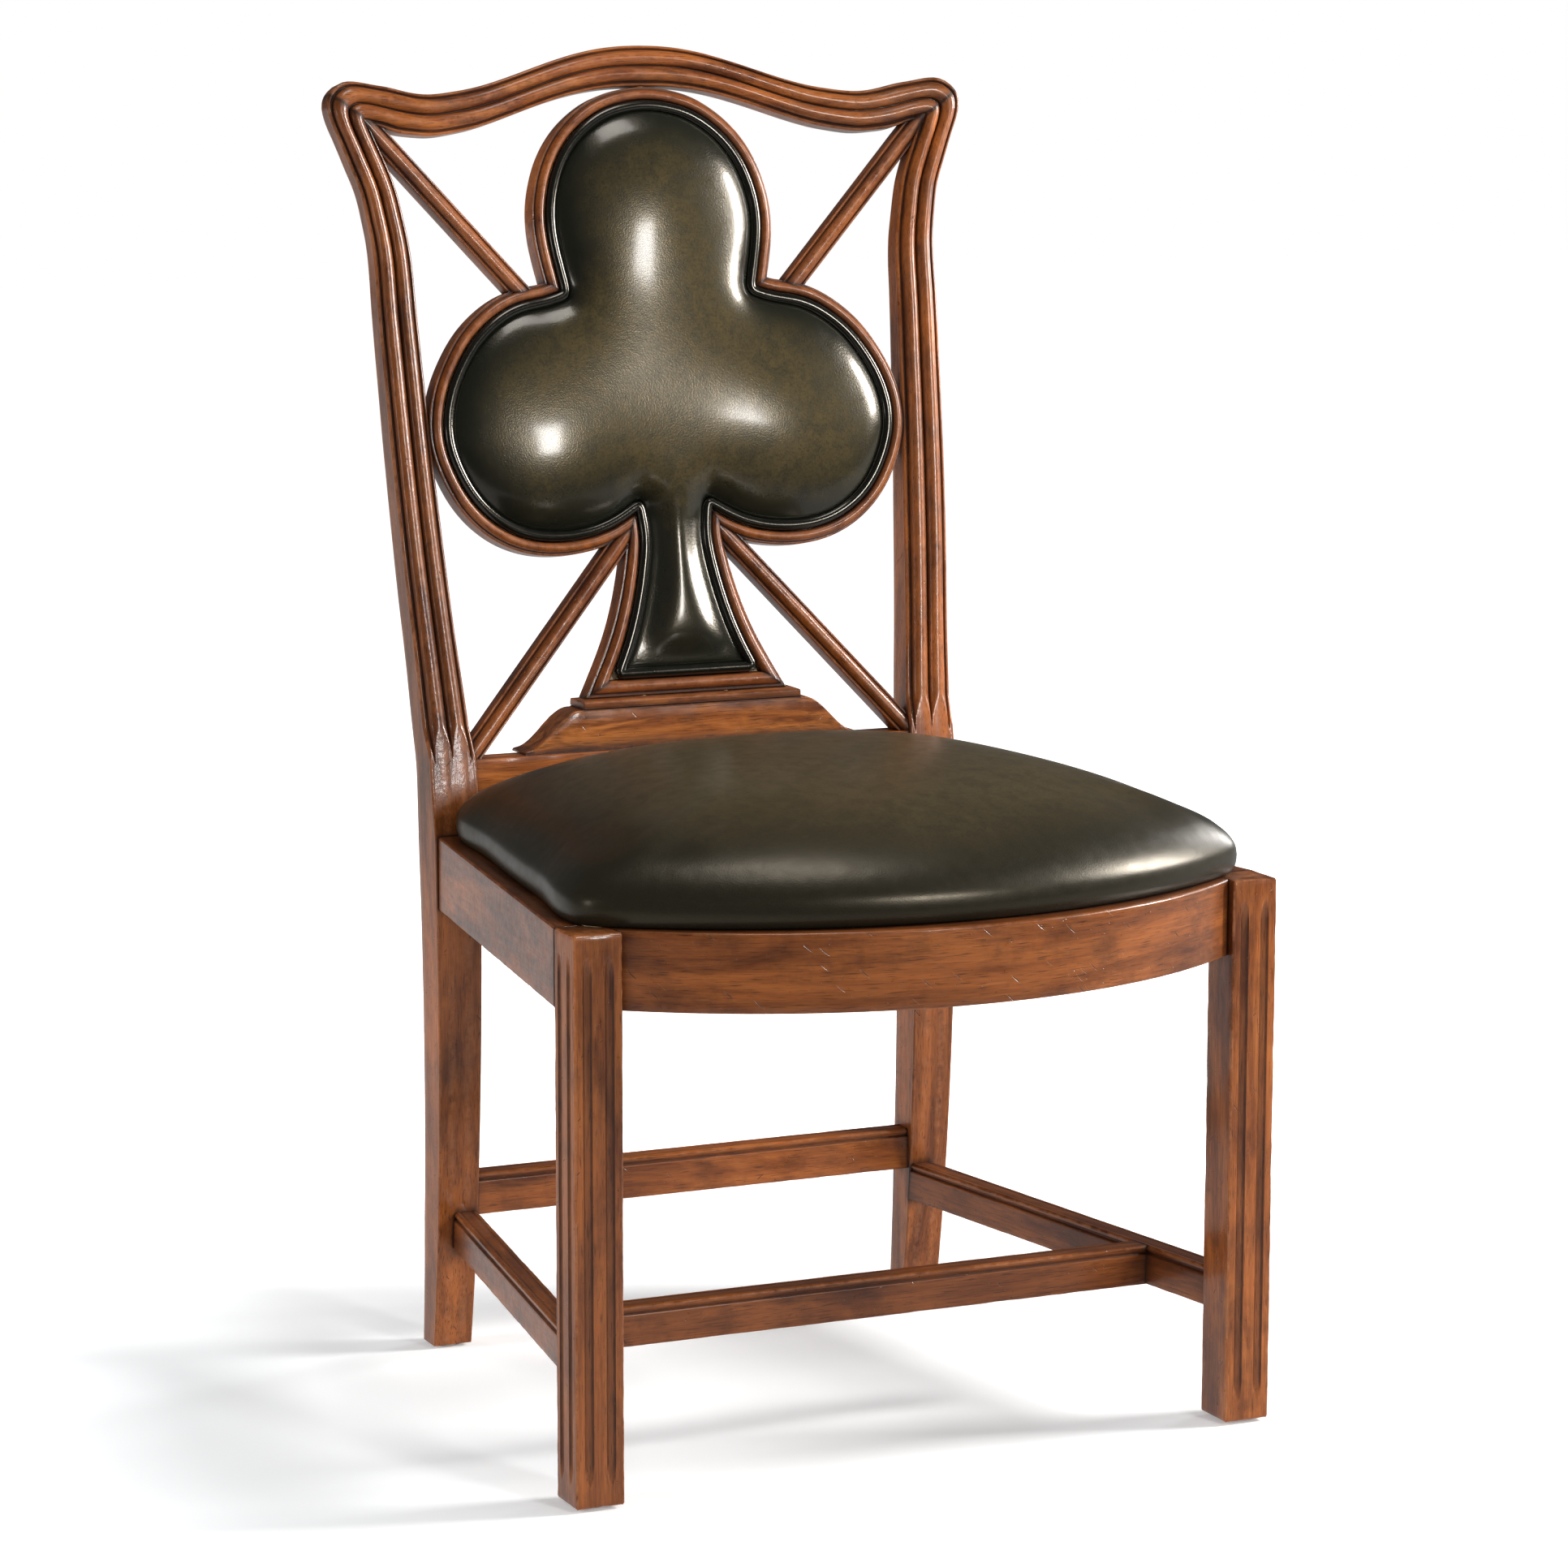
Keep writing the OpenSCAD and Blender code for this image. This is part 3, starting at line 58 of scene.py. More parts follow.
# ---------- sizes, as in the part's source
overall_h, front_w, rear_w, seat_d, rail_top = 1031.5, 568.5, 458.0, 422.0, 420.5
lean, back_bow = radians(10.2), 12.0
leg_w, foot_w, foot_t, post_w, post_t, post_top_t, foot_rake = 37.5, 32.0, 26.0, 39.0, 40.0, 22.0, 26.0
flute_pitch, flute_r, flute_deep, flute_stop, glide_h = 17.0, 4.0, 2.2, 15.0, 2.5
rail_h, rail_t, rail_bow, rail_recess, side_inset = 58.0, 22.0, 86.0, 8.0, 2.5
rear_rail_rise, rear_rail_inset, rear_rail_t = 57.0, 14.0, 24.0
bar_h, bar_t, low_bar_z, cross_y, rear_bar_z, rear_bar_h = 31.0, 20.0, 84.0, 114.0, 110.0, 34.0
crest_w, crest_t, crest_dip, ear_drop, post_flare = 32.5, 22.0, 38.0, 29.5, 16.0
ring_w, ring_t, lip_w, club_w, stem_foot, base_grow = 10.5, 22.0, 9.0, 391.0, 66.5, 1.26
shoe_h, shoe_w, shoe_t, cap_h, cap_w, cap_past, strut_w, strut_t = 33.5, 290.0, 29.0, 6.0, 190.0, 1.0, 17.0, 19.0
seat_crown, seat_margin, pad_crown, welt_d = 88.0, 11.0, 28.0, 9.0

front_half, post_out = front_w / 2, rear_w / 2
leg_in, post_in = front_half - leg_w, post_out - post_w
bow_r = (leg_in ** 2 + rail_bow ** 2) / (2 * rail_bow)
bow_y = rail_recess + bow_r - rail_bow
rail_z = rail_top - rail_h
side_turn = atan((front_half - post_out + side_inset) / (seat_d - leg_w))
side_slope = tan(side_turn)
rear_y, rear_top = seat_d + rear_rail_inset, rail_top + rear_rail_rise
shoe_y, cap_z = rear_y + 5, rear_top + shoe_h
back_r = (215.0 ** 2 + back_bow ** 2) / (2 * back_bow)
sin_lean, cos_lean = sin(lean), cos(lean)
top_z = overall_h + (back_bow + 6.5) * sin_lean
club_top = top_z - crest_w - 0.5 - ring_w
club_foot = cap_z + cap_h + ring_w * base_grow + (back_bow + 6.2) * sin_lean


def stack(*parts):
    """Points from their coordinates, each a number or an array."""
    return np.stack(np.broadcast_arrays(*parts), -1)


def climb(z):
    return (z - rail_top) / cos_lean


def bow_at(x):
    return back_bow - back_r + np.sqrt(back_r ** 2 - np.square(x))


def leaned(x, z, n):
    """Points on the leaning back: x across, z up the face, n behind it."""
    return stack(x, seat_d + climb(z) * sin_lean + n * cos_lean, z - n * sin_lean)


def on_back(x, z, d):
    return leaned(x, z, bow_at(x) + d)


mid_y = (rail_recess - rail_bow + on_back(0, top_z - 0.06 * crest_w, crest_t)[1]) / 2


def put(points):
    """Part millimetres to the frame's metres."""
    return (np.asarray(points, float) - [0, mid_y, 0]) / 1000


# ---------- curves and meshes
def spline(t, values, at):
    """Natural cubic spline through values at t."""
    t, y, at = (np.asarray(k, float) for k in (t, values, at))
    flat, h, inner = y.reshape(len(t), -1), np.diff(t), np.arange(1, len(t) - 1)
    a, b = np.eye(len(t)), np.zeros_like(flat)
    a[inner, inner - 1], a[inner, inner], a[inner, inner + 1] = h[:-1], 2 * (h[:-1] + h[1:]), h[1:]
    b[inner] = 6 * np.diff(np.diff(flat, axis=0) / h[:, None], axis=0)
    m = np.linalg.solve(a, b)
    k = np.clip(np.searchsorted(t, at) - 1, 0, len(h) - 1)
    hk, u, v = h[k][:, None], (t[k + 1] - at)[:, None], (at - t[k])[:, None]
    out = (m[k] * u ** 3 + m[k + 1] * v ** 3) / (6 * hk)
    out += (flat[k] / hk - m[k] * hk / 6) * u + (flat[k + 1] / hk - m[k + 1] * hk / 6) * v
    return out.reshape((len(at),) + y.shape[1:])


def chords(points):
    return np.concatenate([[0], np.cumsum(norm(np.diff(points, axis=0), axis=1))])


def stations(length, step):
    """Places along a length, closer together at both ends."""
    inner = np.linspace(1.5 + step / 2, length - 1.5 - step / 2, max(2, int(length / step)))
    return np.concatenate([[0, 0.5, 1.5], inner, [length - 1.5, length - 0.5, length]])


def strands(start, end):
    """Places along every strand of a piece, between its two ends."""
    length = float(np.mean(end - start))
    return start + (end - start) * (stations(length, 4.0) / length)[:, None]


def left_of(line):
    """Unit normals to the left along a closed line."""
    way = np.roll(line, -1, 0) - np.roll(line, 1, 0)
    return stack(-way[:, 1], way[:, 0]) / norm(way, axis=1)[:, None]


def round_box(low, high, radii, steps=4, spacing=4.0):
    """Closed rectangle with rounded corners and no edge longer than spacing."""
    corners = np.array([low, (high[0], low[1]), high, (low[0], high[1])], float)
    turn = np.linspace(0, pi / 2, steps + 1)[:, None]
    out, full = [], []
    for c, before, after, r in zip(corners, np.roll(corners, 1, 0), np.roll(corners, -1, 0), radii):
        out += list(c + r * (np.sign(before - c) * (1 - np.sin(turn)) + np.sign(after - c) * (1 - np.cos(turn))))
    for p, q in zip(out, out[1:] + out[:1]):
        count = max(1, ceil(norm(q - p) / spacing))
        full += [p + (q - p) * k / count for k in range(count)]
    return np.array(full)


def new_object(name, data):
    obj = bpy.data.objects.new(name, data)
    scene.collection.objects.link(obj)
    return obj


def new_mesh(name, points, faces, smooth_angle=38):
    mesh = bpy.data.meshes.new(name)
    mesh.from_pydata(put(points).tolist(), [], faces)
    mesh.validate()
    mesh.polygons.foreach_set("use_smooth", [True] * len(mesh.polygons))
    mesh.set_sharp_from_angle(angle=radians(smooth_angle))
    return new_object(name, mesh)


def fetched(items, key, width=3, kind=float):
    """One value of every item, as rows."""
    out = np.empty(len(items) * width, kind)
    items.foreach_get(key, out)
    return out.reshape(-1, width)


def move_to(obj, metres):
    obj.data.vertices.foreach_set("co", metres.ravel())
    obj.data.update()


def set_attr(obj, name, values):
    values = np.asarray(values, np.float32)
    kind, key = ("FLOAT_VECTOR", "vector") if values.ndim == 2 else ("FLOAT", "value")
    layer = obj.data.attributes.get(name) or obj.data.attributes.new(name, kind, "POINT")
    layer.data.foreach_set(key, values.ravel())


def skin(rings, closed=False):
    """Faces over rings of equal counts, with a cap at each end."""
    m, n = rings.shape[:2]
    i, j = np.meshgrid(np.arange(m if closed else m - 1), np.arange(n), indexing="ij")
    ahead, beside = (i + 1) % m * n, (j + 1) % n
    faces = stack(i * n + j, i * n + beside, ahead + beside, ahead + j).reshape(-1, 4).tolist()
    if not closed:
        faces += [list(range(n))[::-1], list(range((m - 1) * n, m * n))]
    return faces


def outward(points, faces):
    """Faces turned so that the closed mesh's volume is positive."""
    fans = np.array([(f[0], f[k], f[k + 1]) for f in faces for k in range(1, len(f) - 1)])
    a, b, c = points[fans.T]
    return faces if (a * np.cross(b, c)).sum() > 0 else [f[::-1] for f in faces]


def board_axes(direction):
    """Rows: two directions across a board, then the one along its grain."""
    w = Vector(direction).normalized()
    u = w.orthogonal().normalized() if abs(w.y) > 0.9 else Vector((0, 1, 0)).cross(w).normalized()
    return np.array([u, w.cross(u), w])


wood_pieces = []


def wood(name, rings, glaze_and_painted_shade=0.0, wear=0.0, tone=0.0, figure=0.0, grain=(0, 0, 1), field=None, rubbed=0.5):
    """A wooden piece over rings of points, with what its finish needs on every point.

    Its arrises are worn unevenly, by up to about rubbed millimetres, always inwards."""
    # The glaze value darkens hollows and joints, partly as glaze and partly as painted shade; the tone value makes a
    # piece lighter or darker, partly its own tone and partly painted light and shade.
    rings = np.asarray(rings, float)
    points = rings.reshape(-1, 3)
    finish = {key: np.broadcast_to(values, rings.shape[:2]).ravel()
              for key, values in (("glaze_and_painted_shade", glaze_and_painted_shade), ("wear", wear), ("tone", tone), ("figure", figure))}
    obj = new_mesh(name, points, outward(points, skin(rings)))
    depth = np.zeros(len(points))
    for i in np.flatnonzero(finish["wear"] > 0.3):
        p = Vector(points[i])
        hollows = 1.1 * max(0, noise.noise(p / 17) + 0.12) + 0.5 * max(0, noise.noise(p / 5.5))
        depth[i] = finish["wear"][i] * rubbed * hollows
    move_to(obj, put(points - fetched(obj.data.vertex_normals, "vector") * depth[:, None]))
    index = len(wood_pieces)
    field = points @ board_axes(grain).T if field is None else field.reshape(-1, 3)
    set_attr(obj, "grain", field / 1000 + [0.37 * index, 0.11 * (index % 5), 0.83 * index])
    for key, values in finish.items():
        set_attr(obj, key, values)
    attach(obj, "root")
    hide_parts(name)
    wood_pieces.append(obj)


def prism(name, section, origin, u, w, start, end, **looks):
    """A straight piece: a section along u and up, run along w between two end faces."""
    start, end = (np.broadcast_to(k, len(section)) for k in (start, end))
    rings = origin + section[:, :1] * u + section[:, 1:] * [0, 0, 1] + strands(start, end)[..., None] * w
    wood(name, rings, grain=w, **looks)


def corner_wear(section):
    """Wear on the outer corners of a section: 1 where it turns most."""
    a, b = np.roll(section, 1, 0) - section, np.roll(section, -1, 0) - section
    turn = np.abs(np.arctan2(a[:, 0] * b[:, 1] - a[:, 1] * b[:, 0], -(a * b).sum(1)))
    length = (norm(a, axis=1) + norm(b, axis=1)) / 2
    return np.clip(turn / np.maximum(length, 0.3) * 0.8, 0, 1)


def mirror_pair(build, stem):
    for side, word in ((-1, "left"), (1, "right")):
        build(side, f"{stem}_{word}")


def sided(rings, side):
    return np.asarray(rings) * [side, 1, 1]


# ---------- front legs
FLUTE_CUT = np.array([-4.3, -3.75, -3.5, -3.2, -2.6, -1.9, -1.1, -0.35, 0.35, 1.1, 1.9, 2.6, 3.2, 3.5, 3.75, 4.3])
LEG_ARRIS, FLUTE_TIP = 1.5, 17.0


def leg_face(fluted):
    """Places along a face of the leg, between its rounded arrises, and how far each is from a flute's middle."""
    if not fluted:
        return np.linspace(2, leg_w - 2, 9), np.full(9, 99.0)
    middle = leg_w / 2
    one, two = middle - flute_pitch / 2, middle + flute_pitch / 2
    places = np.concatenate([[2, 4], one + FLUTE_CUT, [middle - 2, middle + 2], two + FLUTE_CUT, [leg_w - 4, leg_w - 2]])
    return places, np.minimum(np.abs(places - one), np.abs(places - two))


def front_leg(side, name):
    z0, z1 = glide_h + flute_stop + 0.5 + FLUTE_TIP, rail_top - flute_stop - 0.5 - FLUTE_TIP
    ease = FLUTE_TIP * np.linspace(0, 1, 20) ** 1.4
    z = np.concatenate([glide_h + np.array([0, 0.25, 0.9, 1.8, 5, 9, 13]), z0 - FLUTE_TIP + ease,
                        np.linspace(z0 + 3, z1 - 3, 84), z1 + FLUTE_TIP - ease[::-1],
                        rail_top - np.array([13, 9, 5, 1.8, 0.9, 0.3, 0])])[:, None]
    push = np.zeros(z.shape)
    push[:3, 0], push[-3:, 0] = [1.5, 0.9, 0.3], [0.35, 0.95, 1.7]
    shallow = np.clip(np.maximum(z0 - z, z - z1) / FLUTE_TIP, 0, 1) ** 1.5
    turn = np.radians(15 * np.arange(1, 6))
    reach = LEG_ARRIS - np.minimum(push, LEG_ARRIS * 0.6)
    plain_arris = np.zeros((len(z), len(turn)))
    c, plan, glaze_and_painted_shade, wear = leg_w, [], [], []
    # Faces in turn: front (fluted), outer side (fluted), back, inner side
    for start, way, fluted in (((0, 0), (1, 0), True), ((c, 0), (0, 1), True), ((c, c), (-1, 0), False),
                               ((0, c), (0, -1), False)):
        places, off = leg_face(fluted)
        deep = np.maximum(0, np.sqrt(np.maximum(flute_r ** 2 - off ** 2, 0)) - flute_r + flute_deep * (1 - shallow))
        along = np.hstack([np.broadcast_to(places, deep.shape), c - LEG_ARRIS + reach * np.sin(turn)])
        depth = np.hstack([deep + push, LEG_ARRIS - reach * np.cos(turn)])
        plan.append(start + along[..., None] * way + depth[..., None] * [-way[1], way[0]])
        # Glaze and painted shade inside the flutes, with a painted dark line along their edges.
        edge = 0.6 * ((off > 2.5) & (off < 3.6)) * (1 - shallow) ** 2
        glaze_and_painted_shade.append(np.hstack([0.42 * (deep / flute_deep) ** 0.5 + edge, plain_arris]))
        wear.append(np.hstack([0.29 * ((off > 3.4) & (off < 4)) * (shallow < 0.3), plain_arris + 1]))
    plan, glaze_and_painted_shade, wear = (np.concatenate(k, axis=1) for k in (plan, glaze_and_painted_shade, wear))
    wear[-3:], wear[:3] = 1, 0.7
    # The right leg is painted lighter than the left, as painted light.
    wood(name, sided(stack(leg_in + plan[..., 0], plan[..., 1], z), side), glaze_and_painted_shade, wear, 0.3 if side > 0 else -0.03, 0.3)


mirror_pair(front_leg, "front_leg")


# ---------- seat rails and stretchers
def front_rail():
    section = round_box((-rail_t, 0), (0, rail_h), [1, 1.4, 2.2, 1.5], 5)
    across, up = section.T
    half = np.arcsin(np.minimum(1, (leg_in + 0.3) / (bow_r + across)))
    arc = 2 * bow_r * float(half.mean())
    turn = (stations(arc, 3.5) / arc * 2 - 1)[:, None] * half
    r = bow_r + across
    wood("front_seat_rail", stack(r * np.sin(turn), bow_y - r * np.cos(turn), rail_z + up), wear=corner_wear(section),
         tone=-0.14, figure=0.25, field=stack(across, up, turn * bow_r))


def side_rail(side, name):
    section = round_box((-rail_t / cos(side_turn), 0), (0, rail_h), [1, 1.2, 2, 1.5], 5)
    prism(name, section * [side, 1], (side * front_half, leg_w, rail_z), (1, 0, 0), (-side * side_slope, 1, 0),
          0, seat_d - leg_w + 0.3, wear=corner_wear(section), tone=-0.05)


front_rail()
mirror_pair(side_rail, "side_seat_rail")
rear_section = round_box((0, 0), (rear_rail_t, rear_top - rail_z), [1.3] * 4)
# The rear rail is painted lighter, as painted light where the seat shades it.
prism("rear_seat_rail", rear_section, (0, rear_y, rail_z), (0, 1, 0), (1, 0, 0), -post_in, post_in,
      wear=corner_wear(rear_section), figure=0.6, tone=0.5)


def rake_at(z):
    return foot_rake * np.clip(1 - z / rail_top, 0, 1) ** 2.8


def foot_inner(z):
    f = np.clip((z - glide_h) / (rail_top - glide_h), 0, 1)
    return post_in + (post_out - foot_w - 4.5 - post_in) * (1 - f) ** 1.5


def stretcher_section(h):
    """Flat sides, then a quirk and a small bead along both top edges: the section, and its glaze with painted shade in
    the quirk and beside the bead, and wear.
    """
    w = bar_t / 2
    right = [(w - 0.9, 0), (w - 0.25, 0.3), (w, 1)] + [(w, y) for y in np.linspace(4, h - 9, 6)]
    right += [(w, h - 7.6), (w - 0.3, h - 7), (w - 1.7, h - 6.4), (w - 2.0, h - 5.9), (w - 1.9, h - 5.3)]
    right += [(w - 2.9 + 2.35 * cos(a), h - 2.55 + 2.5 * sin(a))
              for a in np.radians([-62, -35, -8, 20, 48, 75, 98, 122])]
    right += [(w - 4.9, h - 0.5), (w - 5.4, h - 0.6), (w - 7, h - 0.35)]
    section = np.array(right + [(-x, y) for x, y in reversed(right)])
    x, y = np.abs(section[:, 0]), section[:, 1]
    quirk = np.exp(-((y - (h - 6)) / 0.9) ** 2) * (x > w - 2.6)
    valley = np.exp(-((x - (w - 5.2)) / 0.6) ** 2) * (y > h - 2)
    rub = np.exp(-((y - (h - 1.4)) / 1.2) ** 2) * (x > w - 4)
    return section, {"glaze_and_painted_shade": np.clip(quirk + 0.7 * valley, 0, 1), "wear": np.clip(rub + 0.8 * (y < 0.5), 0, 1)}


low_section, low_looks = stretcher_section(bar_h)
high_section, high_looks = stretcher_section(rear_bar_h)
side_bar_x = front_half - leg_w / 2 - 4


def side_stretcher(side, name):
    u, v = low_section.T
    sn, cs = sin(side_turn), cos(side_turn)
    # The left bar is painted a little lighter and the right one darker, as painted light and shade.
    prism(name, low_section * [side, 1], (side * side_bar_x, leg_w, low_bar_z), (cs, side * sn, 0), (-side * sn, cs, 0),
          -u * sn / cs - 0.6, (seat_d + rake_at(low_bar_z + v) - leg_w - u * sn) / cs + 0.8,
          tone=0.05 if side < 0 else -0.12, **low_looks)


mirror_pair(side_stretcher, "side_stretcher")
cross_mid = cross_y + bar_t / 2
cross_end = side_bar_x - (cross_mid + low_section[:, 0] - leg_w) * side_slope - bar_t / 2 / cos(side_turn) + 1.5
prism("cross_stretcher", low_section, (0, cross_mid, low_bar_z), (0, 1, 0), (1, 0, 0), -cross_end, cross_end,
      tone=-0.26, **low_looks)
rear_end = float(foot_inner(rear_bar_z)) + 0.8
# The rear stretcher is painted lighter, as painted light where the seat shades it.
prism("rear_stretcher", high_section, (0, seat_d + float(rake_at(rear_bar_z)) + 3 + bar_t / 2, rear_bar_z),
      (0, 1, 0), (1, 0, 0), -rear_end, rear_end, tone=0.25, figure=0.3, **high_looks)

# ---------- crest rail and back posts
ear_x, ear_z = post_out + post_flare, top_z - ear_drop
dip_z = top_z - crest_dip
mid_x = ear_x - 1.815 * crest_w


def near_ear(a, b, c, d):
    return [ear_x + a * crest_w, ear_z + b * crest_w, ear_x + c * crest_w, ear_z + d * crest_w]


mitre = near_ear(-0.138, -1.015, 0.849, -0.326)


def moulding():
    """Face of crest and posts: share across, depth, glaze with painted shade in the hollows, and wear. Two reeds, a
    groove, and a bead at each side.
    """
    left = [(0, 7.4, 0.1, 0.4), (0.006, 6.7, 0, 0.8), (0.02, 6.0, 0, 0.9), (0.037, 5.4, 0, 0.8), (0.057, 5.2, 0.1, 0.5),
            (0.076, 5.5, 0.6, 0), (0.09, 6.1, 0.9, 0), (0.102, 6.7, 1, 0), (0.114, 6.5, 1, 0)]
    for a in np.radians(np.arange(-78, 79, 12)):
        depth = 6.0 * (1 - cos(a)) * 1.02
        left.append((0.305 + 0.184 * sin(a), depth, max(0, depth - 2.6) / 2.6, max(0, 1 - depth / 1.2)))
    left.append((0.494, 6.1, 1, 0))
    return np.array(left + [(1 - f, d, g, w) for f, d, g, w in reversed(left)])


face = moulding()
arris = np.maximum(0, 1 - np.minimum(face[:, 0], 1 - face[:, 0]) / 0.035)
arris_depth = 1.3 * (1 - np.sqrt(np.maximum(0, 1 - arris ** 2)))
HEEL_WEAR = 0.8 * np.isin(np.arange(21), [4, 5, 6, 13, 14, 15])


def back_ring(inner, outer, thick, bow_share, lift):
    """One ring across crest or post, with the moulding's depth cut back by lift: points, glaze with painted shade, and
    wear.
    """
    depth = np.maximum(arris_depth, face[:, 1] - lift)
    kept = np.clip(depth / np.maximum(face[:, 1], 0.5), 0, 1)
    wall = [(1, d) for d in np.linspace(depth[0] + 0.8, thick - 2, 5)]
    wall += [(0.985, thick - 0.7), (0.965, thick - 0.15), (0.94, thick)]
    flat = [(f, thick) for f in (0.8, 0.65, 0.5, 0.35, 0.2)]
    rest = np.array(wall + flat + [(1 - f, d) for f, d in reversed(wall)])
    f, d = np.concatenate([face[:, 0], rest[:, 0]]), np.concatenate([depth, rest[:, 1]])
    x, z = (inner[k] + (outer[k] - inner[k]) * f for k in (0, 1))
    glaze_and_painted_shade = np.concatenate([face[:, 2] * kept ** 0.4, np.zeros(len(rest))])
    wear = np.concatenate([np.maximum(face[:, 3], arris > 0.2) * 0.8, HEEL_WEAR])
    return leaned(x, z, bow_at(x) * bow_share + d), glaze_and_painted_shade, wear


# Up the post: share of the way to the ear, width, and share of the flare
POST_STEPS = [(0.07, 39, 0), (0.105, 38.9, 0), (0.13, 38.9, 0.05), (0.155, 38.8, 0.1), (0.24, 37, 0.24), (0.33, 36.5, 0.44),
              (0.42, 36, 0.6), (0.52, 35, 0.74), (0.62, 34.3, 0.84), (0.71, 33.5, 0.91), (0.79, 32.2, 1)]
POST_EAR = [(-0.898, -3.231, 0.077, -3.292), (-0.754, -2.554, 0.2, -2.646), (-0.538, -1.938, 0.415, -2.062),
            (-0.338, -1.477, 0.692, -1.354), (-0.215, -1.185, 0.898, -0.8)]
CREST_EAR = [(-0.169, -1.028, 0.569, -0.068), (-0.277, -1.055, 0.185, 0), (-0.492, -1.092, -0.246, -0.055),
             (-0.862, -1.206, -0.738, -0.126), (-1.292, -1.262, -1.262, -0.237)]
foot_gain = post_t - foot_t
DEPTHS = [(0, foot_t), (rail_top * 0.25, foot_t + foot_gain * 0.5), (rail_top * 0.48, foot_t + foot_gain * 0.64),
          (rail_top * 0.83, post_t - 2.5), (rail_top, post_t), (rail_top + 45, post_t - 6), (rail_top + 90, post_t - 7.5),
          (rail_top + 180, post_t - 9.5), (ear_z - 200, post_top_t + 3), (ear_z - 100, post_top_t)]


def post_depth(z):
    return float(np.interp(z, *zip(*DEPTHS)))


def frame_stations():
    """Up the right post, round the ear, over the crest and down the left post, and the mitre's place among them.

    Each station has its inner x and z, outer x and z, thickness and share of the back's bow."""
    half = [(post_in, rail_top, post_out, rail_top, post_t, 0)]
    for f, width, drift in POST_STEPS:
        z, outer = rail_top + (ear_z - rail_top) * f, post_out + post_flare * drift
        half.append((outer - width * post_w / 39, z, outer, z, post_depth(z), min(1, max(0, f * 3 - 0.2))))
    half += [(*near_ear(*s), post_top_t, 1) for s in POST_EAR]
    corner = len(half)
    crest_half = [mitre] + [near_ear(*s) for s in CREST_EAR] + [[mid_x, dip_z - 0.8 - crest_w, mid_x, dip_z - 0.8]]
    for a in np.arange(9, -1, -1) / 10:
        x, turn = mid_x * a, 5.5 * sin(pi * a)
        z = dip_z + crest_dip * (0.5 + 0.5 * cos(pi * a ** 1.12))
        crest_half.append([x + turn * 0.4, z - crest_w + 0.16 * turn, x - turn * 0.4, z])
    half += [(*s, crest_t, 1) for s in crest_half]
    return np.array(half + [(-a, b, -c, d, e, f) for a, b, c, d, e, f in reversed(half[:-1])]), corner


frame_line, mitre_at = frame_stations()
frame_t = (chords(frame_line[:, :2]) + chords(frame_line[:, 2:4])) / 2


MOULDING_FOOT, MOULDING_RUN_OUT = 505, 33


def frame_rings(start, end):
    """Rings of the moulding between two of the frame's stations: points, glaze and wear."""
    t = frame_t[start] + stations(frame_t[end] - frame_t[start], 3.0)
    return [back_ring(p[:2], p[2:4], p[4], p[5], 8 * min(1, max(0, (MOULDING_FOOT - p[1]) / MOULDING_RUN_OUT)))
            for p in spline(frame_t, frame_line, t)]


def crest():
    rings, glaze_and_painted_shade, wear = (np.array(k) for k in zip(*frame_rings(mitre_at, -1 - mitre_at)))
    # The crest is painted darker towards its right end, as painted shade.
    tone = 0.14 - 0.34 * np.clip((rings[..., 0] - 60) / 150, 0, 1)
    wood("crest_rail", rings, glaze_and_painted_shade, wear, tone, 0.5, (1, 0, 0), rubbed=0.12)


def back_post(side, name):
    rows = []
    for f in np.concatenate([[0, 0.002, 0.006], np.linspace(0.014, 0.995, 100)]):
        z = glide_h + (rail_top - glide_h) * f
        inner = float(foot_inner(z))
        outer = inner + foot_w + (post_w - foot_w) * f
        ring, glaze_and_shade, rub = back_ring((inner, rail_top), (outer, rail_top), post_depth(z), 0, 8)
        rows.append((stack(ring[:, 0], seat_d + rake_at(z) + (ring[:, 1] - seat_d) / cos_lean, z), glaze_and_shade, rub))
    rings, glaze_and_painted_shade, wear = (np.array(k) for k in zip(*rows, *frame_rings(0, mitre_at)))
    # Above the rail the left post is painted darker and the right one a little lighter, as painted shade and light.
    above = np.clip((rings[..., 2].mean(1, keepdims=True) - rail_top + 60) / 90, 0, 1)
    wood(name, sided(rings, side), glaze_and_painted_shade, wear, 0.2 + above * (0.08 if side > 0 else -0.5), 0.2, rubbed=0.12)


crest()
mirror_pair(back_post, "back_post")

# ---------- the club's outline
club_fit = (club_w / 391, (club_top - club_foot) / 457)
LOBES = [
    (0, 0), (19, 2), (37, 7), (54, 16.5), (69, 29.5), (81, 46), (90, 68), (94, 91), (92.5, 115), (88.5, 135),
    (85.5, 149.5), (101, 154), (119, 157), (135, 162.5), (150, 171.5), (165, 184.5), (179, 203), (189.5, 223),
    (195.5, 245), (195.5, 266), (190, 285), (180, 305), (167, 321), (149, 334.5), (128, 343), (105, 346.2),
    (84, 345.3), (66, 341.8), (49, 335.3), (33.5, 326.7),
]
STEM = [(0.14, -1.8), (0.3, 0.5), (0.47, 5), (0.64, 11), (0.81, 19), (1, 30.5)]


def fitted(p):
    x = p[0] * club_fit[0]
    return [x, club_top - p[1] * club_fit[1] - (back_bow - float(bow_at(x))) * sin_lean]


def across(points):
    return [[-x, z] for x, z in reversed(points)]


lobes = [fitted(p) for p in LOBES]
neck_x, neck_z = lobes[-1]
stem = [[neck_x + (b if b < 0 else b * (stem_foot - neck_x) / 30.5), neck_z + (club_foot - neck_z) * a] for a, b in STEM]
foot_corners = [stem[-1], [-stem[-1][0], stem[-1][1]]]


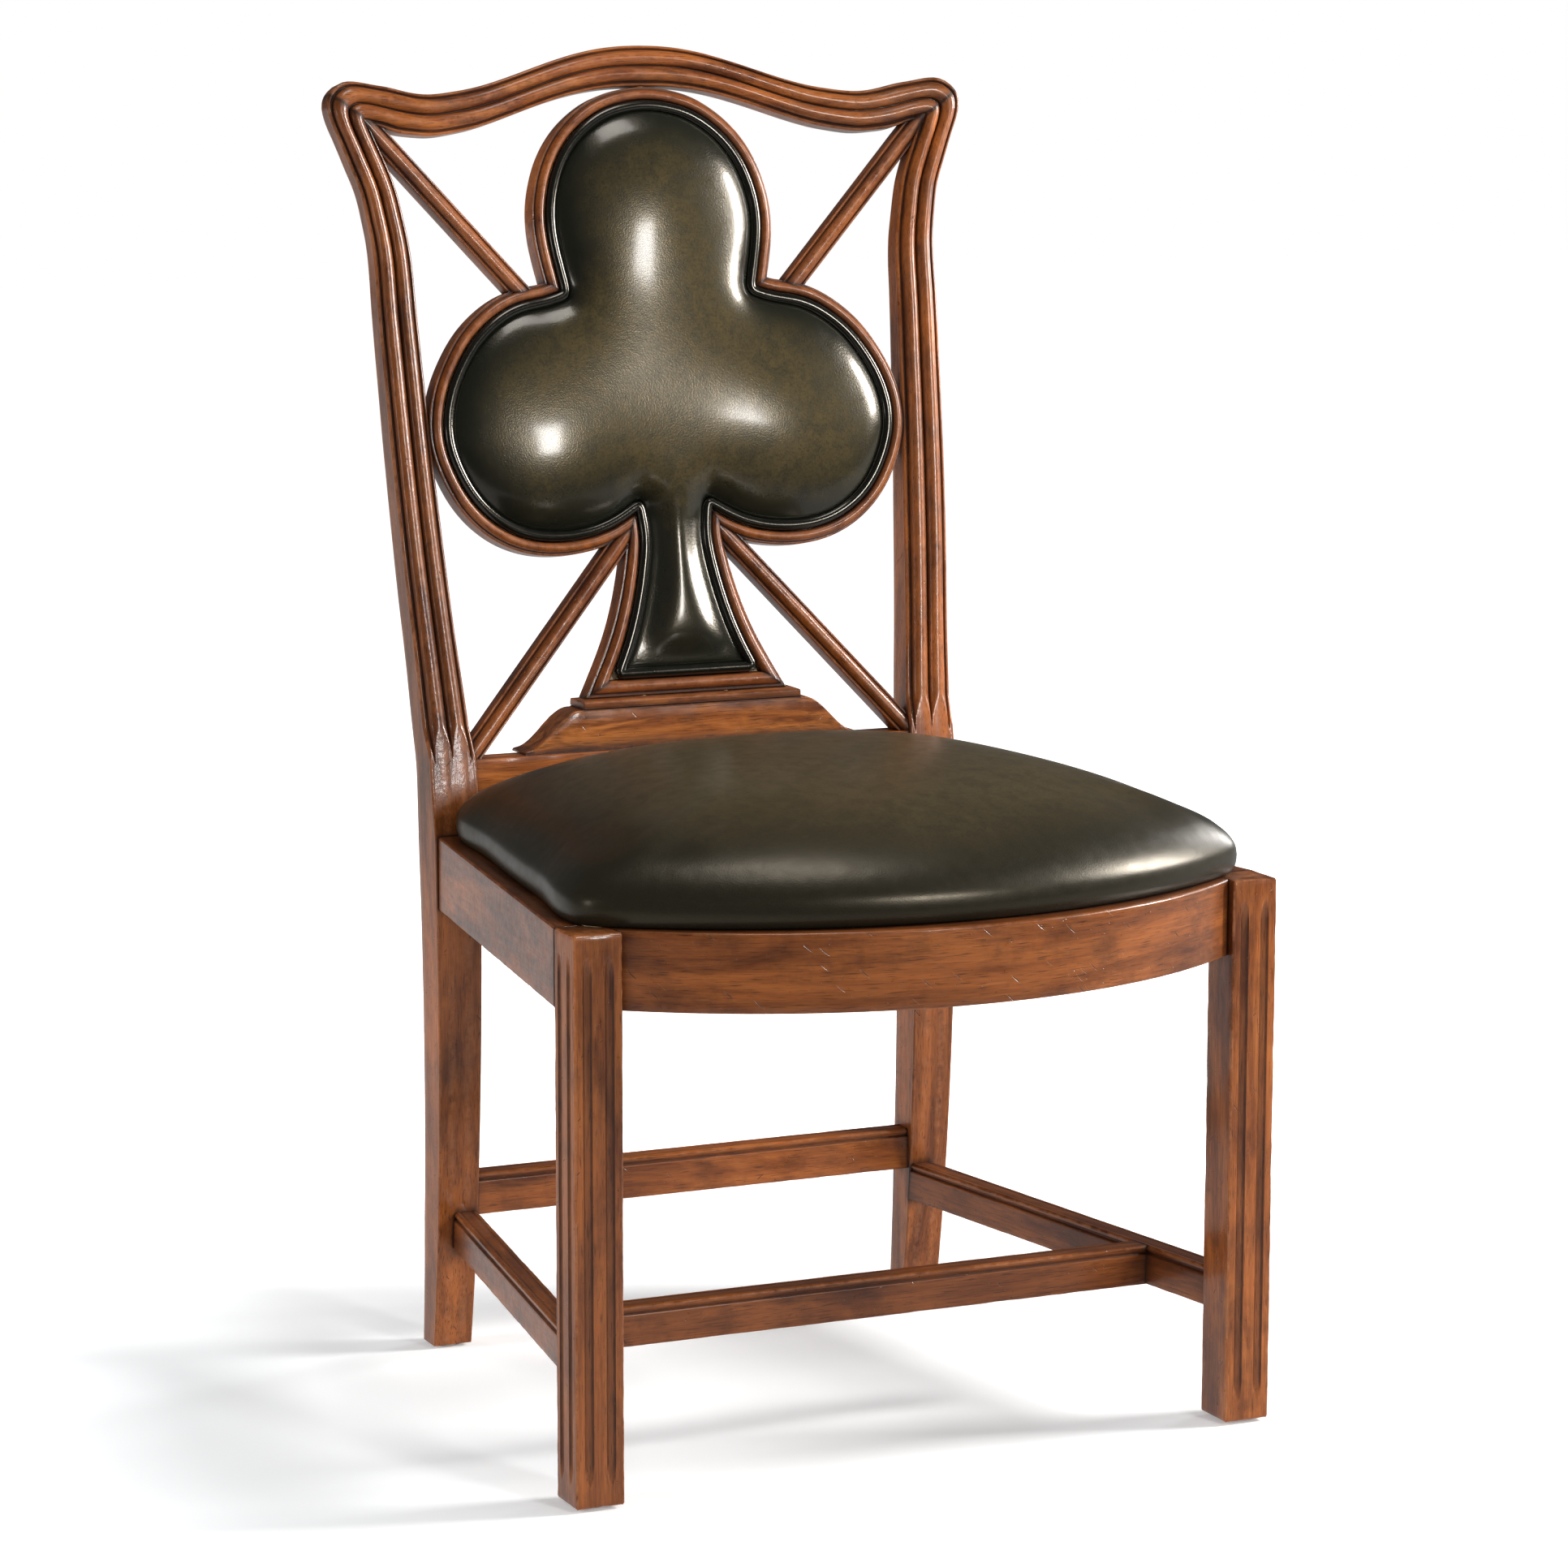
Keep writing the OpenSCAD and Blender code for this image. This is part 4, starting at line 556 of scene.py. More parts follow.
def fine_line(points):
    """Dense points, tangents and left-hand normals along a smooth line through points, and how far along they are."""
    t = chords(points)
    at = stations(t[-1], 2.5)
    way = spline(t, points, np.minimum(at + 0.2, t[-1])) - spline(t, points, np.maximum(at - 0.2, 0))
    way /= norm(way, axis=1)[:, None]
    return spline(t, points, at), way, stack(-way[:, 1], way[:, 0]), at


club_parts = {
    "top": fine_line(across(lobes[1:11]) + lobes[:11]),
    "right": fine_line(lobes[10:]),
    "stem_right": fine_line([lobes[-1]] + stem),
    "base": fine_line(foot_corners),
    "stem_left": fine_line(across([lobes[-1]] + stem)),
    "left": fine_line(across(lobes[10:])),
}
ORDER = list(club_parts)


def slide(one, two):
    """How far a mitre between two lines slides along each of them, per unit of offset."""
    n1, n2 = club_parts[one][2][-1], club_parts[two][2][0]
    m = (n1 + n2) / (1 + n1 @ n2)
    return float(m @ club_parts[one][1][-1]), float(m @ club_parts[two][1][0])


club_dirs, club_grow = {}, {}
MITRE_REACH = 30.0
for i, part in enumerate(ORDER):
    q, way, normal, at = club_parts[part]
    start, finish = slide(ORDER[i - 1], part)[1], slide(part, ORDER[(i + 1) % 6])[0]
    ends = (np.maximum(0, 1 - gap / MITRE_REACH) ** 1.5 for gap in (at, at[-1] - at))
    k = start * next(ends) + finish * next(ends)
    club_dirs[part] = normal + way * k[:, None]
    climbs = {"stem_right": at / at[-1], "stem_left": 1 - at / at[-1], "base": np.ones(len(at))}
    club_grow[part] = 1 + (base_grow - 1) * climbs.get(part, np.zeros(len(at)))


def spread(part, offset):
    """Points of a part moved out by an offset, which grows towards the foot."""
    offset = np.atleast_1d(np.asarray(offset, float))[None]
    far = np.where(offset > 0, offset * club_grow[part][:, None], offset)
    return club_parts[part][0][:, None] + club_dirs[part][:, None] * far[..., None]


def club_line(offset):
    """Closed outline of the club moved out by an offset, back to its first point."""
    line = np.concatenate([spread(p, offset)[:-1, 0] for p in ORDER])
    return np.vstack([line, line[:1]])


def softened(offset, reach, foot_reach):
    """The club's outline at an offset, at even steps, rounded at its notches and less so at the foot's two corners.

    Steps match for all offsets."""
    t = chords(club_line(-welt_d))
    count = int(t[-1] / 1.7)
    index = np.interp(np.linspace(0, t[-1], count, endpoint=False), t, np.arange(len(t)))
    line = club_line(offset)
    even = stack(*(np.interp(index, np.arange(len(t)), line[:, k]) for k in (0, 1)))
    wave, rate = np.fft.fft(even, axis=0), pi * np.fft.fftfreq(count, 1.7)[:, None]
    round_all, round_foot = (np.fft.ifft(wave * np.exp(-2 * (rate * r) ** 2), axis=0).real for r in (reach, foot_reach))
    gap = norm(even[:, None] - foot_corners, axis=2).min(1)
    share = np.clip((gap - 22) / 20, 0, 1)[:, None]
    return round_foot + (round_all - round_foot) * share * share * (3 - 2 * share)


def ring_section():
    """Section of the club frame: distance out from its opening, depth, glaze with painted shade along its opening and
    in its hollows, and wear.
    """
    step = ring_t - 5.3
    out = [(-lip_w, ring_t, 0, 0.3), (-lip_w, ring_t - 2.5, 0, 0), (-lip_w, step, 0.5, 0), (-4.5, step, 0.5, 0),
           (0, step, 1, 0), (0, 12, 1, 0), (0, 8, 1, 0), (0, 5.2, 0.9, 0)]
    for a in np.radians([-82, -70, -58, -45, -32, -19, -6, 7, 20, 33, 46, 59, 72]):
        depth = 4.2 * (1 - cos(a))
        out.append((4.05 + 4.05 * sin(a), depth, max(0, depth - 2.2) / 3, max(0, 1 - depth / 1.0)))
    out += [(8.0, 4.5, 0.9, 0), (8.15, 5.1, 1, 0), (8.5, 5.3, 0.9, 0), (9.2, 5.25, 0.3, 0.1), (9.9, 5.4, 0.1, 0.4),
            (10.3, 5.8, 0, 0.6), (10.5, 6.5, 0, 0.5)]
    out += [(10.5, d, 0, 0) for d in (9, 12.5, 16, ring_t - 1.6)]
    out += [(10.3, ring_t - 0.6, 0, 0.6), (9.7, ring_t - 0.1, 0, 0.6), (8.8, ring_t, 0, 0.2), (5, ring_t, 0, 0),
            (1, ring_t, 0, 0), (-3.5, ring_t, 0, 0)]
    return np.array(out)


RING = ring_section()
for part, name, grain, figure, tone in (
        ("top", "club_frame_top", (1, 0, 0), 0.3, 0.06), ("right", "club_frame_right", (0.1, 0, 1), 0.3, 0),
        ("left", "club_frame_left", (-0.1, 0, 1), 0.3, -0.03), ("stem_right", "club_stem_right", (0.15, 0, 1), 0, 0.05),
        ("stem_left", "club_stem_left", (-0.15, 0, 1), 0, 0.02), ("base", "club_frame_base", (1, 0, 0), 0.4, 0.1)):
    q = spread(part, RING[:, 0])
    wood(name, on_back(q[..., 0], q[..., 1], RING[:, 1]), RING[:, 2], RING[:, 3], tone, figure, grain, rubbed=0.15)


# ---------- shoe and its cap
def shoe():
    xs = np.concatenate([np.linspace(0, 94, 24), [95.5, 96.2, 97.2, 98.2], np.linspace(99.5, 141, 30),
                         [142.5, 143.7, 144.6, 145]])
    rings, glaze_and_painted_shade = [], []
    for x in np.concatenate([-xs[:0:-1], xs]):
        s = min(1, max(0, (abs(x) - cap_w / 2 - 3) / (shoe_w / 2 - cap_w / 2 - 3)))
        top = 2.6 + (shoe_h - 3.2) * (0.5 + 0.5 * cos(pi * s))
        top = shoe_h if abs(x) < cap_w / 2 + 0.8 else top - max(0, abs(x) - 143.4) ** 2 * 0.35
        r = min(1.6, top * 0.4)
        arc = [(r - r * cos(a), top - r + r * sin(a)) for a in np.radians([0, 22, 45, 68, 90])]
        section = [(0, 0), (0, top / 3), (0, 2 * top / 3)] + arc + [(shoe_t * k, top) for k in (0.25, 0.5, 0.75)]
        section += [(shoe_t - y, z) for y, z in reversed(arc)]
        section += [(shoe_t, 2 * top / 3), (shoe_t, top / 3), (shoe_t, 0), (shoe_t / 2, 0)]
        rings.append([(x, shoe_y + y, rear_top + z) for y, z in section])
        # Glaze and painted shade at the foot of each sloping end.
        glaze_and_painted_shade.append([0.35 * (0.85 < s < 0.98)])
    wear = [0] * 4 + [1, 1, 1, 0.6] + [0.1] * 4 + [1, 1, 1] + [0] * 5
    wood("splat_shoe", rings, glaze_and_painted_shade, wear, 0.15, 1.0, (1, 0, 0))


def cap():
    """The block under the club frame, with small worn arrises."""
    half = np.array([cap_w / 2, (shoe_t + cap_past) / 2])
    plan = round_box(-half, half, [1.0] * 4, spacing=5)
    levels = [(0, 0.5), (0.3, 0.1), (0.8, 0), (cap_h / 2, 0), (cap_h - 1, 0), (cap_h - 0.4, 0.25), (cap_h, 0.9)]
    rings = [stack(*(plan * (half - push) / half + [0, shoe_y + half[1]]).T, cap_z + z) for z, push in levels]
    wood("shoe_cap", rings, wear=np.array([[0, 0.5, 0, 0, 0.9, 0.9, 0.9]]).T, tone=0.1, figure=0.6, grain=(1, 0, 0))


shoe()
cap()


# ---------- diagonal bars
def strut_section():
    """Section of a bar, a broad reed between two fillets: across, depth, glaze with painted shade in the hollows, and
    wear.
    """
    w = strut_w / 2
    left = [(-w, strut_t - 1.2, 0, 0.4), (-w, 14, 0, 0), (-w, 10, 0, 0), (-w, 6.6, 0, 0), (-w + 0.3, 5.6, 0, 0.6),
            (-w + 0.9, 5.0, 0, 0.7), (-w + 1.8, 4.9, 0.1, 0.2), (-w + 2.5, 5.2, 0.6, 0), (-w + 2.9, 5.7, 1, 0),
            (-w + 3.2, 5.5, 1, 0)]
    for a in np.radians([-74, -60, -46, -32, -18, -6]):
        depth = 1.5 + 4.2 * (1 - cos(a))
        left.append((5.45 * sin(a), depth, max(0, depth - 3) / 2.4, max(0, 1 - (depth - 1.5) / 1.0)))
    back = [(w - 0.8, strut_t, 0, 0.4), (w / 2, strut_t, 0, 0), (0, strut_t, 0, 0), (-w / 2, strut_t, 0, 0),
            (-w + 0.8, strut_t, 0, 0.4)]
    return np.array(left + [(-f, d, g, k) for f, d, g, k in reversed(left)] + back)


STRUT = strut_section()
ring_edge = club_line(ring_w - 3.5)


def crossing(a, b):
    """How far from a each strand of a bar from a to b last crosses the club frame's edge."""
    a, b, line = (stack(p[..., 0], climb(p[..., 1])) for p in (np.array(a), np.array(b), ring_edge))
    way = (b - a) / norm(b - a)
    along, off = (line - a) @ way, (line - a) @ [way[1], -way[0]] - STRUT[:, :1]
    one, two, step = off[:, :-1], off[:, 1:], np.diff(along)
    crossed = ((one <= 0) != (two <= 0)) & (np.abs(step) < 30)
    last = np.where(crossed, along[:-1] + step * one / np.where(crossed, one - two, 1), -np.inf).max(1)
    good = last > -30
    return np.interp(np.arange(len(last)), np.flatnonzero(good), last[good])


def strut_pair(a, b, stem_name, end_reach):
    """Two mirrored bars between points of the leaning plane, scribed to the club frame at a."""
    start = crossing(a, b)
    length = hypot(b[0] - a[0], climb(b[1]) - climb(a[1]))
    along = strands(np.where(start > length * 0.6, 0, start), np.full(len(start), length + end_reach))
    p, q = (np.array([x, max(0.0, float(bow_at(x))), climb(z)]) for x, z in (a, b))
    way = (q - p) / norm(q - p)
    spin = Matrix.Rotation(atan2(way[0], way[2]), 3, "Y") @ Matrix.Rotation(-asin(way[1]), 3, "X")
    flat = p + stack(STRUT[:, 0], STRUT[:, 1], along) @ np.array(spin).T
    rings = leaned(flat[..., 0], rail_top + flat[..., 2] * cos_lean, flat[..., 1])
    mirror_pair(lambda side, name: wood(name, sided(rings, side), STRUT[:, 2], STRUT[:, 3], -0.08,
                                        grain=(side * way[0], 0, way[2]), rubbed=0.15), stem_name)


notch = club_parts["right"][0][-1] + club_dirs["right"][-1] * ring_w
strut_pair(fitted((119, 149)), (mitre[0] + 1, mitre[1] + 1), "upper_bar", 6.0)
strut_pair((notch[0] + 3, notch[1] - 2), (post_in + 1, rear_top + 4), "lower_bar", 2.0)


# ---------- soft parts
def closeness(points, outline):
    """Smooth distance of inner points to a closed outline: near it, the true distance."""
    out = np.zeros(len(points))
    for lo in range(0, len(points), 1500):
        d = outline[None] - points[lo:lo + 1500, None]
        r = np.maximum(norm(d, axis=2), 1e-6)
        ahead, r_ahead = np.roll(d, -1, 1), np.roll(r, -1, 1)
        cross = d[..., 0] * ahead[..., 1] - d[..., 1] * ahead[..., 0]
        tangent = cross / (r * r_ahead + (d * ahead).sum(2) + 1e-9)
        out[lo:lo + 1500] = 2 / np.abs((tangent * (1 / r + 1 / r_ahead)).sum(1))
    return out


def inside(points, outline):
    a, b, (x, y) = outline, np.roll(outline, -1, 0), points.T[..., None]
    hit = (a[:, 1] > y) != (b[:, 1] > y)
    with np.errstate(divide="ignore", invalid="ignore"):
        edge = (b - a)[:, 0] * (y - a[:, 1]) / (b - a)[:, 1] + a[:, 0]
    return (hit & (x < edge)).sum(1) % 2 == 1


def triangles(loop, inner=()):
    """Triangles that fill a closed loop, through the points inside it."""
    n = len(loop)
    edges = [(j, (j + 1) % n) for j in range(n)]
    found = geometry.delaunay_2d_cdt([Vector(p) for p in (*loop, *inner)], edges, [], 1, 1e-5)
    back = [ids[0] if ids else -1 for ids in found[3]]
    return [[back[v] for v in f] for f in found[2] if all(back[v] >= 0 for v in f)]


def outward_soft(points, faces):
    """Triangles and quads wound alike, turned outwards by their enclosed volume."""
    bm = bmesh.new()
    verts = [bm.verts.new(p) for p in points]
    for f in faces:
        bm.faces.new([verts[i] for i in f])
    bmesh.ops.recalc_face_normals(bm, faces=bm.faces)
    bm.verts.index_update()
    out = [[v.index for v in f.verts] for f in bm.faces]
    bm.free()
    return out


def swell(obj, held, most):
    """Cloth under pressure: the piece swells from its modelled form, and no point moves more than most millimetres."""
    before = fetched(obj.data.vertices, "co")
    group = obj.vertex_groups.new(name="held")
    group.add([int(i) for i in np.flatnonzero(held)], 1.0, "REPLACE")
    cloth = obj.modifiers.new("swell", "CLOTH")
    settings = cloth.settings
    settings.quality, settings.mass, settings.air_damping = 6, 0.25, 2.0
    settings.tension_stiffness = settings.compression_stiffness = 12.0
    settings.shear_stiffness, settings.bending_stiffness = 6.0, 0.4
    settings.use_pressure, settings.uniform_pressure_force = True, 4.0
    settings.vertex_group_mass = "held"
    settings.effector_weights.gravity = 0
    cloth.point_cache.frame_start, cloth.point_cache.frame_end = 1, 20
    for frame_number in range(1, 21):
        scene.frame_set(frame_number)
    move = fetched(obj.evaluated_get(bpy.context.evaluated_depsgraph_get()).to_mesh().vertices, "co") - before
    obj.modifiers.remove(cloth)
    obj.vertex_groups.clear()
    scene.frame_set(1)
    far = norm(move, axis=1) * 1000
    print(f"swell {obj.name}: {len(move)} points, mean {far.mean():.2f} mm, most {far.max():.2f} mm")
    # Each point takes the mean move of its neighbours, many times over
    one, two = fetched(obj.data.edges, "vertices", 2, int).T
    around = np.maximum(np.bincount(np.concatenate([one, two]), minlength=len(move)), 1)[:, None]
    for _ in range(60):
        total = stack(*(np.bincount(one, k[two], len(k)) + np.bincount(two, k[one], len(k)) for k in move.T))
        move = np.where(held[:, None], 0, total / around)
    far, limit = norm(move, axis=1), most / 1000
    move_to(obj, before + move * (limit * np.tanh(far / limit) / np.maximum(far, 1e-9))[:, None])


def soft_piece(name, loops, step, height, place, foot, held=0.0, most=None):
    """A crowned closed cushion, with its share of the way in from the edge as an attribute.

    loops run from its widest line inwards, height gives the crown, place puts both in the part, and foot has the rings
    below. Where most is given, it swells by up to that, and the points whose share is under held stay."""
    outline, last, n = loops[0], loops[-1], len(loops[0])
    lo, hi = last.min(0), last.max(0)
    rows, columns = np.arange(lo[1], hi[1], step * 0.87), np.arange(lo[0], hi[0], step)
    grid = np.array([(x + (step / 2 if j % 2 else 0), y) for j, y in enumerate(rows) for x in columns])
    grid = grid[inside(grid, last)]
    grid = grid[norm(grid[:, None] - last[None, ::2], axis=2).min(1) > step * 0.6]
    points = np.vstack([*loops, grid])
    near = closeness(points, outline)
    near[:n] = 0
    share = near / near.max()
    total = np.vstack([place(points, height(points, near, share)), *foot])
    share = np.append(share, np.zeros(len(total) - len(points)))

    def strip(one, two):
        return [[one + j, one + (j + 1) % n, two + (j + 1) % n, two + j] for j in range(n)]

    starts = [k * n for k in range(len(loops))]
    below = [0] + [len(points) + k * n for k in range(len(foot))]
    faces = [f for one, two in zip(starts, starts[1:]) for f in strip(one, two)]
    faces += [[starts[-1] + v for v in f] for f in triangles(last, grid)]
    faces += [[b, a, d, c] for one, two in zip(below, below[1:]) for a, b, c, d in strip(one, two)]
    faces += [[below[-1] + v for v in f][::-1] for f in triangles(outline)]
    obj = new_mesh(name, total, outward_soft(total, faces), 60)
    if most:
        swell(obj, share < held, most)
    set_attr(obj, "edge", share)
    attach(obj, "root")
    return obj


def fold(points, path, width, depth):
    """A soft fold along a path: how much lower the leather lies there. It fades towards both ends of the path."""
    t = chords(path)
    fine = spline(t, path, np.linspace(0, t[-1], 40))
    gap = norm(points[:, None] - fine[None], axis=2)
    return depth * np.sin(pi * np.linspace(0, 1, 40))[gap.argmin(1)] ** 1.5 * np.exp(-(gap.min(1) / width) ** 2)


PAD_EDGE, PAD_DEPTH = 6.8, 7.6
DOME, DOME_REACH, STEM_SOFT = 5.2, 58.0, 11.0
DOMES = [fitted((0, 74)), fitted((100, 262)), fitted((-100, 288))]
PAD_FOLDS = [([(side * (neck_x + dx), neck_z + dz) for dx, dz in ((-4, -10), (-9, 14), (12, 42))], 10, 1.5)
             for side in (-1, 1)]
PAD_FOLDS.append(([(x, neck_z + dz) for x, dz in ((-neck_x + 4, -4), (-neck_x / 2, 9), (neck_x / 2, 9), (neck_x - 4, -4))],
                  11, 1.5))


def back_foot(outline, depths):
    return [on_back(outline[:, 0], outline[:, 1], depth) for depth in depths]


def pad_height(points, near, share):
    """Domes over the lobes, folds at the neck, and the stem's ridges softened where it meets them."""
    rise = (pad_crown + PAD_DEPTH - 3.4 - DOME) * share ** 0.5
    for dome in DOMES:
        rise += DOME * np.exp(-((points - dome) ** 2).sum(1) / DOME_REACH ** 2) * np.minimum(1, share * 4)
    for path, width, depth in PAD_FOLDS:
        rise -= fold(points, path, width, depth) * np.minimum(1, share * 6)
    stem_top = neck_z + 24
    near_stem = np.flatnonzero((points[:, 1] < stem_top) & (abs(points[:, 0]) < neck_x + 60))
    x, z = points[near_stem].T
    weight = np.exp(-((points[near_stem, None] - points[None]) ** 2).sum(2) / STEM_SOFT ** 2)
    part = np.clip((stem_top - z) / 30, 0, 1) * np.minimum(1, share[near_stem] * 7)
    part *= np.clip((neck_x + 16 + 0.5 * np.maximum(0, neck_z - z) - abs(x)) / 12, 0, 1)
    rise[near_stem] += (weight @ rise / weight.sum(1) - rise[near_stem]) * part
    return rise


pad_loops = [softened(-PAD_EDGE - a, 4.4 + 0.3 * a, 1.2 + 0.25 * a) for a in (0, 0.7, 1.8, 3.3, 5.3, 7.8, 10.8)]
pad = soft_piece("back_pad", pad_loops, 4.5, pad_height, lambda p, rise: on_back(p[:, 0], p[:, 1], PAD_DEPTH - rise),
                 back_foot(pad_loops[0], (PAD_DEPTH + 0.8, PAD_DEPTH + 1.6)), 0.045, 3.0)
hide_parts("back_pad_leather", "back_pad_foam")


def welt(sides=16, r=4.35):
    """Leather piping laid in the rebate, round the corners in soft bends."""
    line, a = softened(-4.7, 4.4, 0.4), 2 * pi * np.arange(sides) / sides
    x, z = (line[:, None] + left_of(line)[:, None] * (r * np.cos(a))[:, None]).T
    rings = on_back(x.T, z.T, 2.4 + r * np.sin(a))
    points = rings.reshape(-1, 3)
    obj = new_mesh("back_pad_welt_leather", points, outward(points, skin(rings, True)), 80)
    set_attr(obj, "edge", np.zeros(len(points)))
    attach(obj, "root")
    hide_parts("back_pad_welt")
    return obj


welt_piece = welt()

# The leather that closes the back, stretched over its board and tucked in at its edge
panel_loops = [softened(-lip_w - 0.8 - a, 1.2 + 0.2 * a, 1.2 + 0.2 * a) for a in (0, 0.5, 1.3, 2.6, 4.6, 7.4, 10.8)]
panel = soft_piece("back_panel_leather", panel_loops, 8, lambda p, near, share: 3.4 * np.minimum(1, near / 26) ** 0.5,
                   lambda p, rise: on_back(p[:, 0], p[:, 1], ring_t - 3.4 + rise),
                   back_foot(panel_loops[0], (ring_t - 5.0,)))
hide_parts("back_panel")

# ---------- seat
cushion_back = seat_d - 2.5
BELT = 14.0
SEAT_FOLDS = [([(side * x, y) for x, y in path], width, depth) for side in (-1, 1) for path, width, depth in (
    ([(244, 18), (205, 48), (150, 74)], 16, -2.4), ([(244, 40), (226, 84), (218, 130)], 15, 1.3),
    ([(212, 22), (170, 34), (120, 42)], 15, 1.3))]


def side_x(y):
    return front_half - seat_margin / cos(side_turn) - (y - leg_w) * side_slope


def seat_outline():
    front, corner_x, corner_y = rail_recess - rail_bow + seat_margin, 250.0, 14.0
    r = (corner_x ** 2 + (corner_y - front) ** 2) / (2 * (corner_y - front))
    half = [(x, front + r - sqrt(r * r - x * x)) for x in corner_x * np.sin(pi / 14 * np.arange(8))]
    half += [(corner_x + 11.5, corner_y + 9.8), (side_x(50) - 3, corner_y + 19.5)]
    half += [(side_x(y), y) for y in np.linspace(50, cushion_back - 14, 6)]
    half += [(side_x(cushion_back) - 2.5, cushion_back - 5), (side_x(cushion_back) - 9, cushion_back - 0.5)]
    half += [(x, cushion_back + (rear_rail_inset + 1.5) * (1 - (x / (post_in + 8)) ** 4))
             for x in post_in * np.array([0.95, 0.74, 0.5, 0.25, 0])]
    loop = half + [(-x, y) for x, y in reversed(half[1:-1])]
    wrap = loop[-6:] + loop + loop[:7]
    t = chords(wrap)
    return spline(t, wrap, np.arange(t[6], t[6 + len(loop)], 3.2)[:-1])


def seat_height(points, near, share):
    rise = BELT + (seat_crown - BELT) * share ** 0.55
    for path, width, depth in SEAT_FOLDS:
        rise -= fold(points, path, width, depth) * np.minimum(1, share * 9)
    return rise


def seat_ring(a):
    """A ring of the seat's belt, from its widest line at 0 to its foot at a quarter turn."""
    line = seat_line + left_of(seat_line) * 5.5 * (1 - cos(a))
    return stack(line[:, 0], line[:, 1], rail_top + 0.4 + (BELT - 0.4) * (1 - sin(a)))


seat_line = seat_outline()
seat_loops = [seat_line + left_of(seat_line) * a for a in (0, 0.6, 1.5, 2.8, 4.5, 6.8, 9.6)]
seat = soft_piece("seat_cushion", seat_loops, 6.0, seat_height, lambda p, rise: stack(p[:, 0], p[:, 1], rail_top + rise),
                  [seat_ring(pi / 12 * k) for k in range(1, 7)], 0.02, 5.0)
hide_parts("seat_leather", "seat_foam")


# ---------- dark joint lines and painted shade where pieces meet
def joint_line_and_painted_shade(reach=0.014, line=0.0014, shade_reach=0.007):
    """Darkens wood where another piece touches it: a fine dark joint line in a wider haze of painted shade."""
    trees = {}
    for o in wood_pieces + [pad, welt_piece, seat, panel]:
        co = fetched(o.data.vertices, "co")
        tree = BVHTree.FromPolygons(co.tolist(), [list(p.vertices) for p in o.data.polygons])
        trees[o.name] = (co, tree, co.min(0), co.max(0))
    for o in wood_pieces:
        co = trees[o.name][0]
        best = np.full(len(co), reach)
        for other, (_, tree, lo, hi) in trees.items():
            near = ((co > lo - reach) & (co < hi + reach)).all(1) & (other != o.name)
            for i in np.flatnonzero(near):
                hit = tree.find_nearest(co[i], best[i])
                if hit[3] is not None:
                    best[i] = min(best[i], hit[3])
        glaze_and_painted_shade = fetched(o.data.attributes["glaze_and_painted_shade"].data, "value", 1, np.float32)[:, 0]
        # A dark line at the joint, and a wider painted shade round it.
        glaze_and_painted_shade = glaze_and_painted_shade + 0.9 * np.exp(-(best / line) ** 2) + 0.4 * np.exp(-(best / shade_reach) ** 2)
        set_attr(o, "glaze_and_painted_shade", np.clip(glaze_and_painted_shade, 0, 1.3))


joint_line_and_painted_shade()


# ---------- finishes
class Graph:
    """A small helper for the nodes of a material or world. A colour is given as its red, green and blue."""

    def __init__(self, owner, output="OutputMaterial"):
        owner.use_nodes = True
        self.owner, self.tree = owner, owner.node_tree
        self.tree.nodes.clear()
        self.out = self.node(output)

    def node(self, kind, inputs=None, **props):
        n = self.tree.nodes.new("ShaderNode" + kind)
        for k, v in props.items():
            setattr(n, k, v)
        for k, v in (inputs or {}).items():
            if isinstance(v, bpy.types.NodeSocket):
                self.tree.links.new(v, n.inputs[k])
            else:
                n.inputs[k].default_value = (*v, 1.0) if n.inputs[k].type == "RGBA" else v
        return n

    def attr(self, name, out="Fac"):
        return self.node("Attribute", attribute_name=name).outputs[out]

    def math(self, op, a, b=0.0, clamp=False):
        return self.node("Math", {0: a, 1: b}, operation=op, use_clamp=clamp).outputs[0]

    def times(self, a, b, clamp=False):
        return self.math("MULTIPLY", a, b, clamp)

    def plus(self, a, b):
        return self.math("ADD", a, b)

    def place(self, vector, scale=(1, 1, 1), shift=(0, 0, 0), angles=(0, 0, 0)):
        return self.node("Mapping", {"Vector": vector, "Scale": scale, "Location": shift, "Rotation": angles}).outputs[0]

    def noise(self, vector, scale=1.0, detail=3.0, rough=0.5, distortion=0.0):
        inputs = {"Vector": vector, "Scale": scale, "Detail": detail, "Roughness": rough, "Distortion": distortion}
        return self.node("TexNoise", inputs).outputs[0]

    def range(self, value, a, b, c=0.0, d=1.0, smooth=False):
        return self.node("MapRange", {"Value": value, "From Min": a, "From Max": b, "To Min": c, "To Max": d},
                         interpolation_type="SMOOTHSTEP" if smooth else "LINEAR").outputs[0]

    def mix(self, factor, a, b, blend="MIX"):
        return self.node("Mix", {0: factor, 6: a, 7: b}, data_type="RGBA", blend_type=blend).outputs[2]

    def bump(self, height, distance, strength=1.0, normal=None):
        inputs = {"Height": height, "Distance": distance, "Strength": strength}
        return self.node("Bump", inputs if normal is None else {**inputs, "Normal": normal}).outputs[0]

    def close(self, shader):
        self.tree.links.new(shader.outputs[0], self.out.inputs[0])
        return self.owner

    def surface(self, **inputs):
        return self.close(self.node("BsdfPrincipled", {k.replace("_", " "): v for k, v in inputs.items()}))


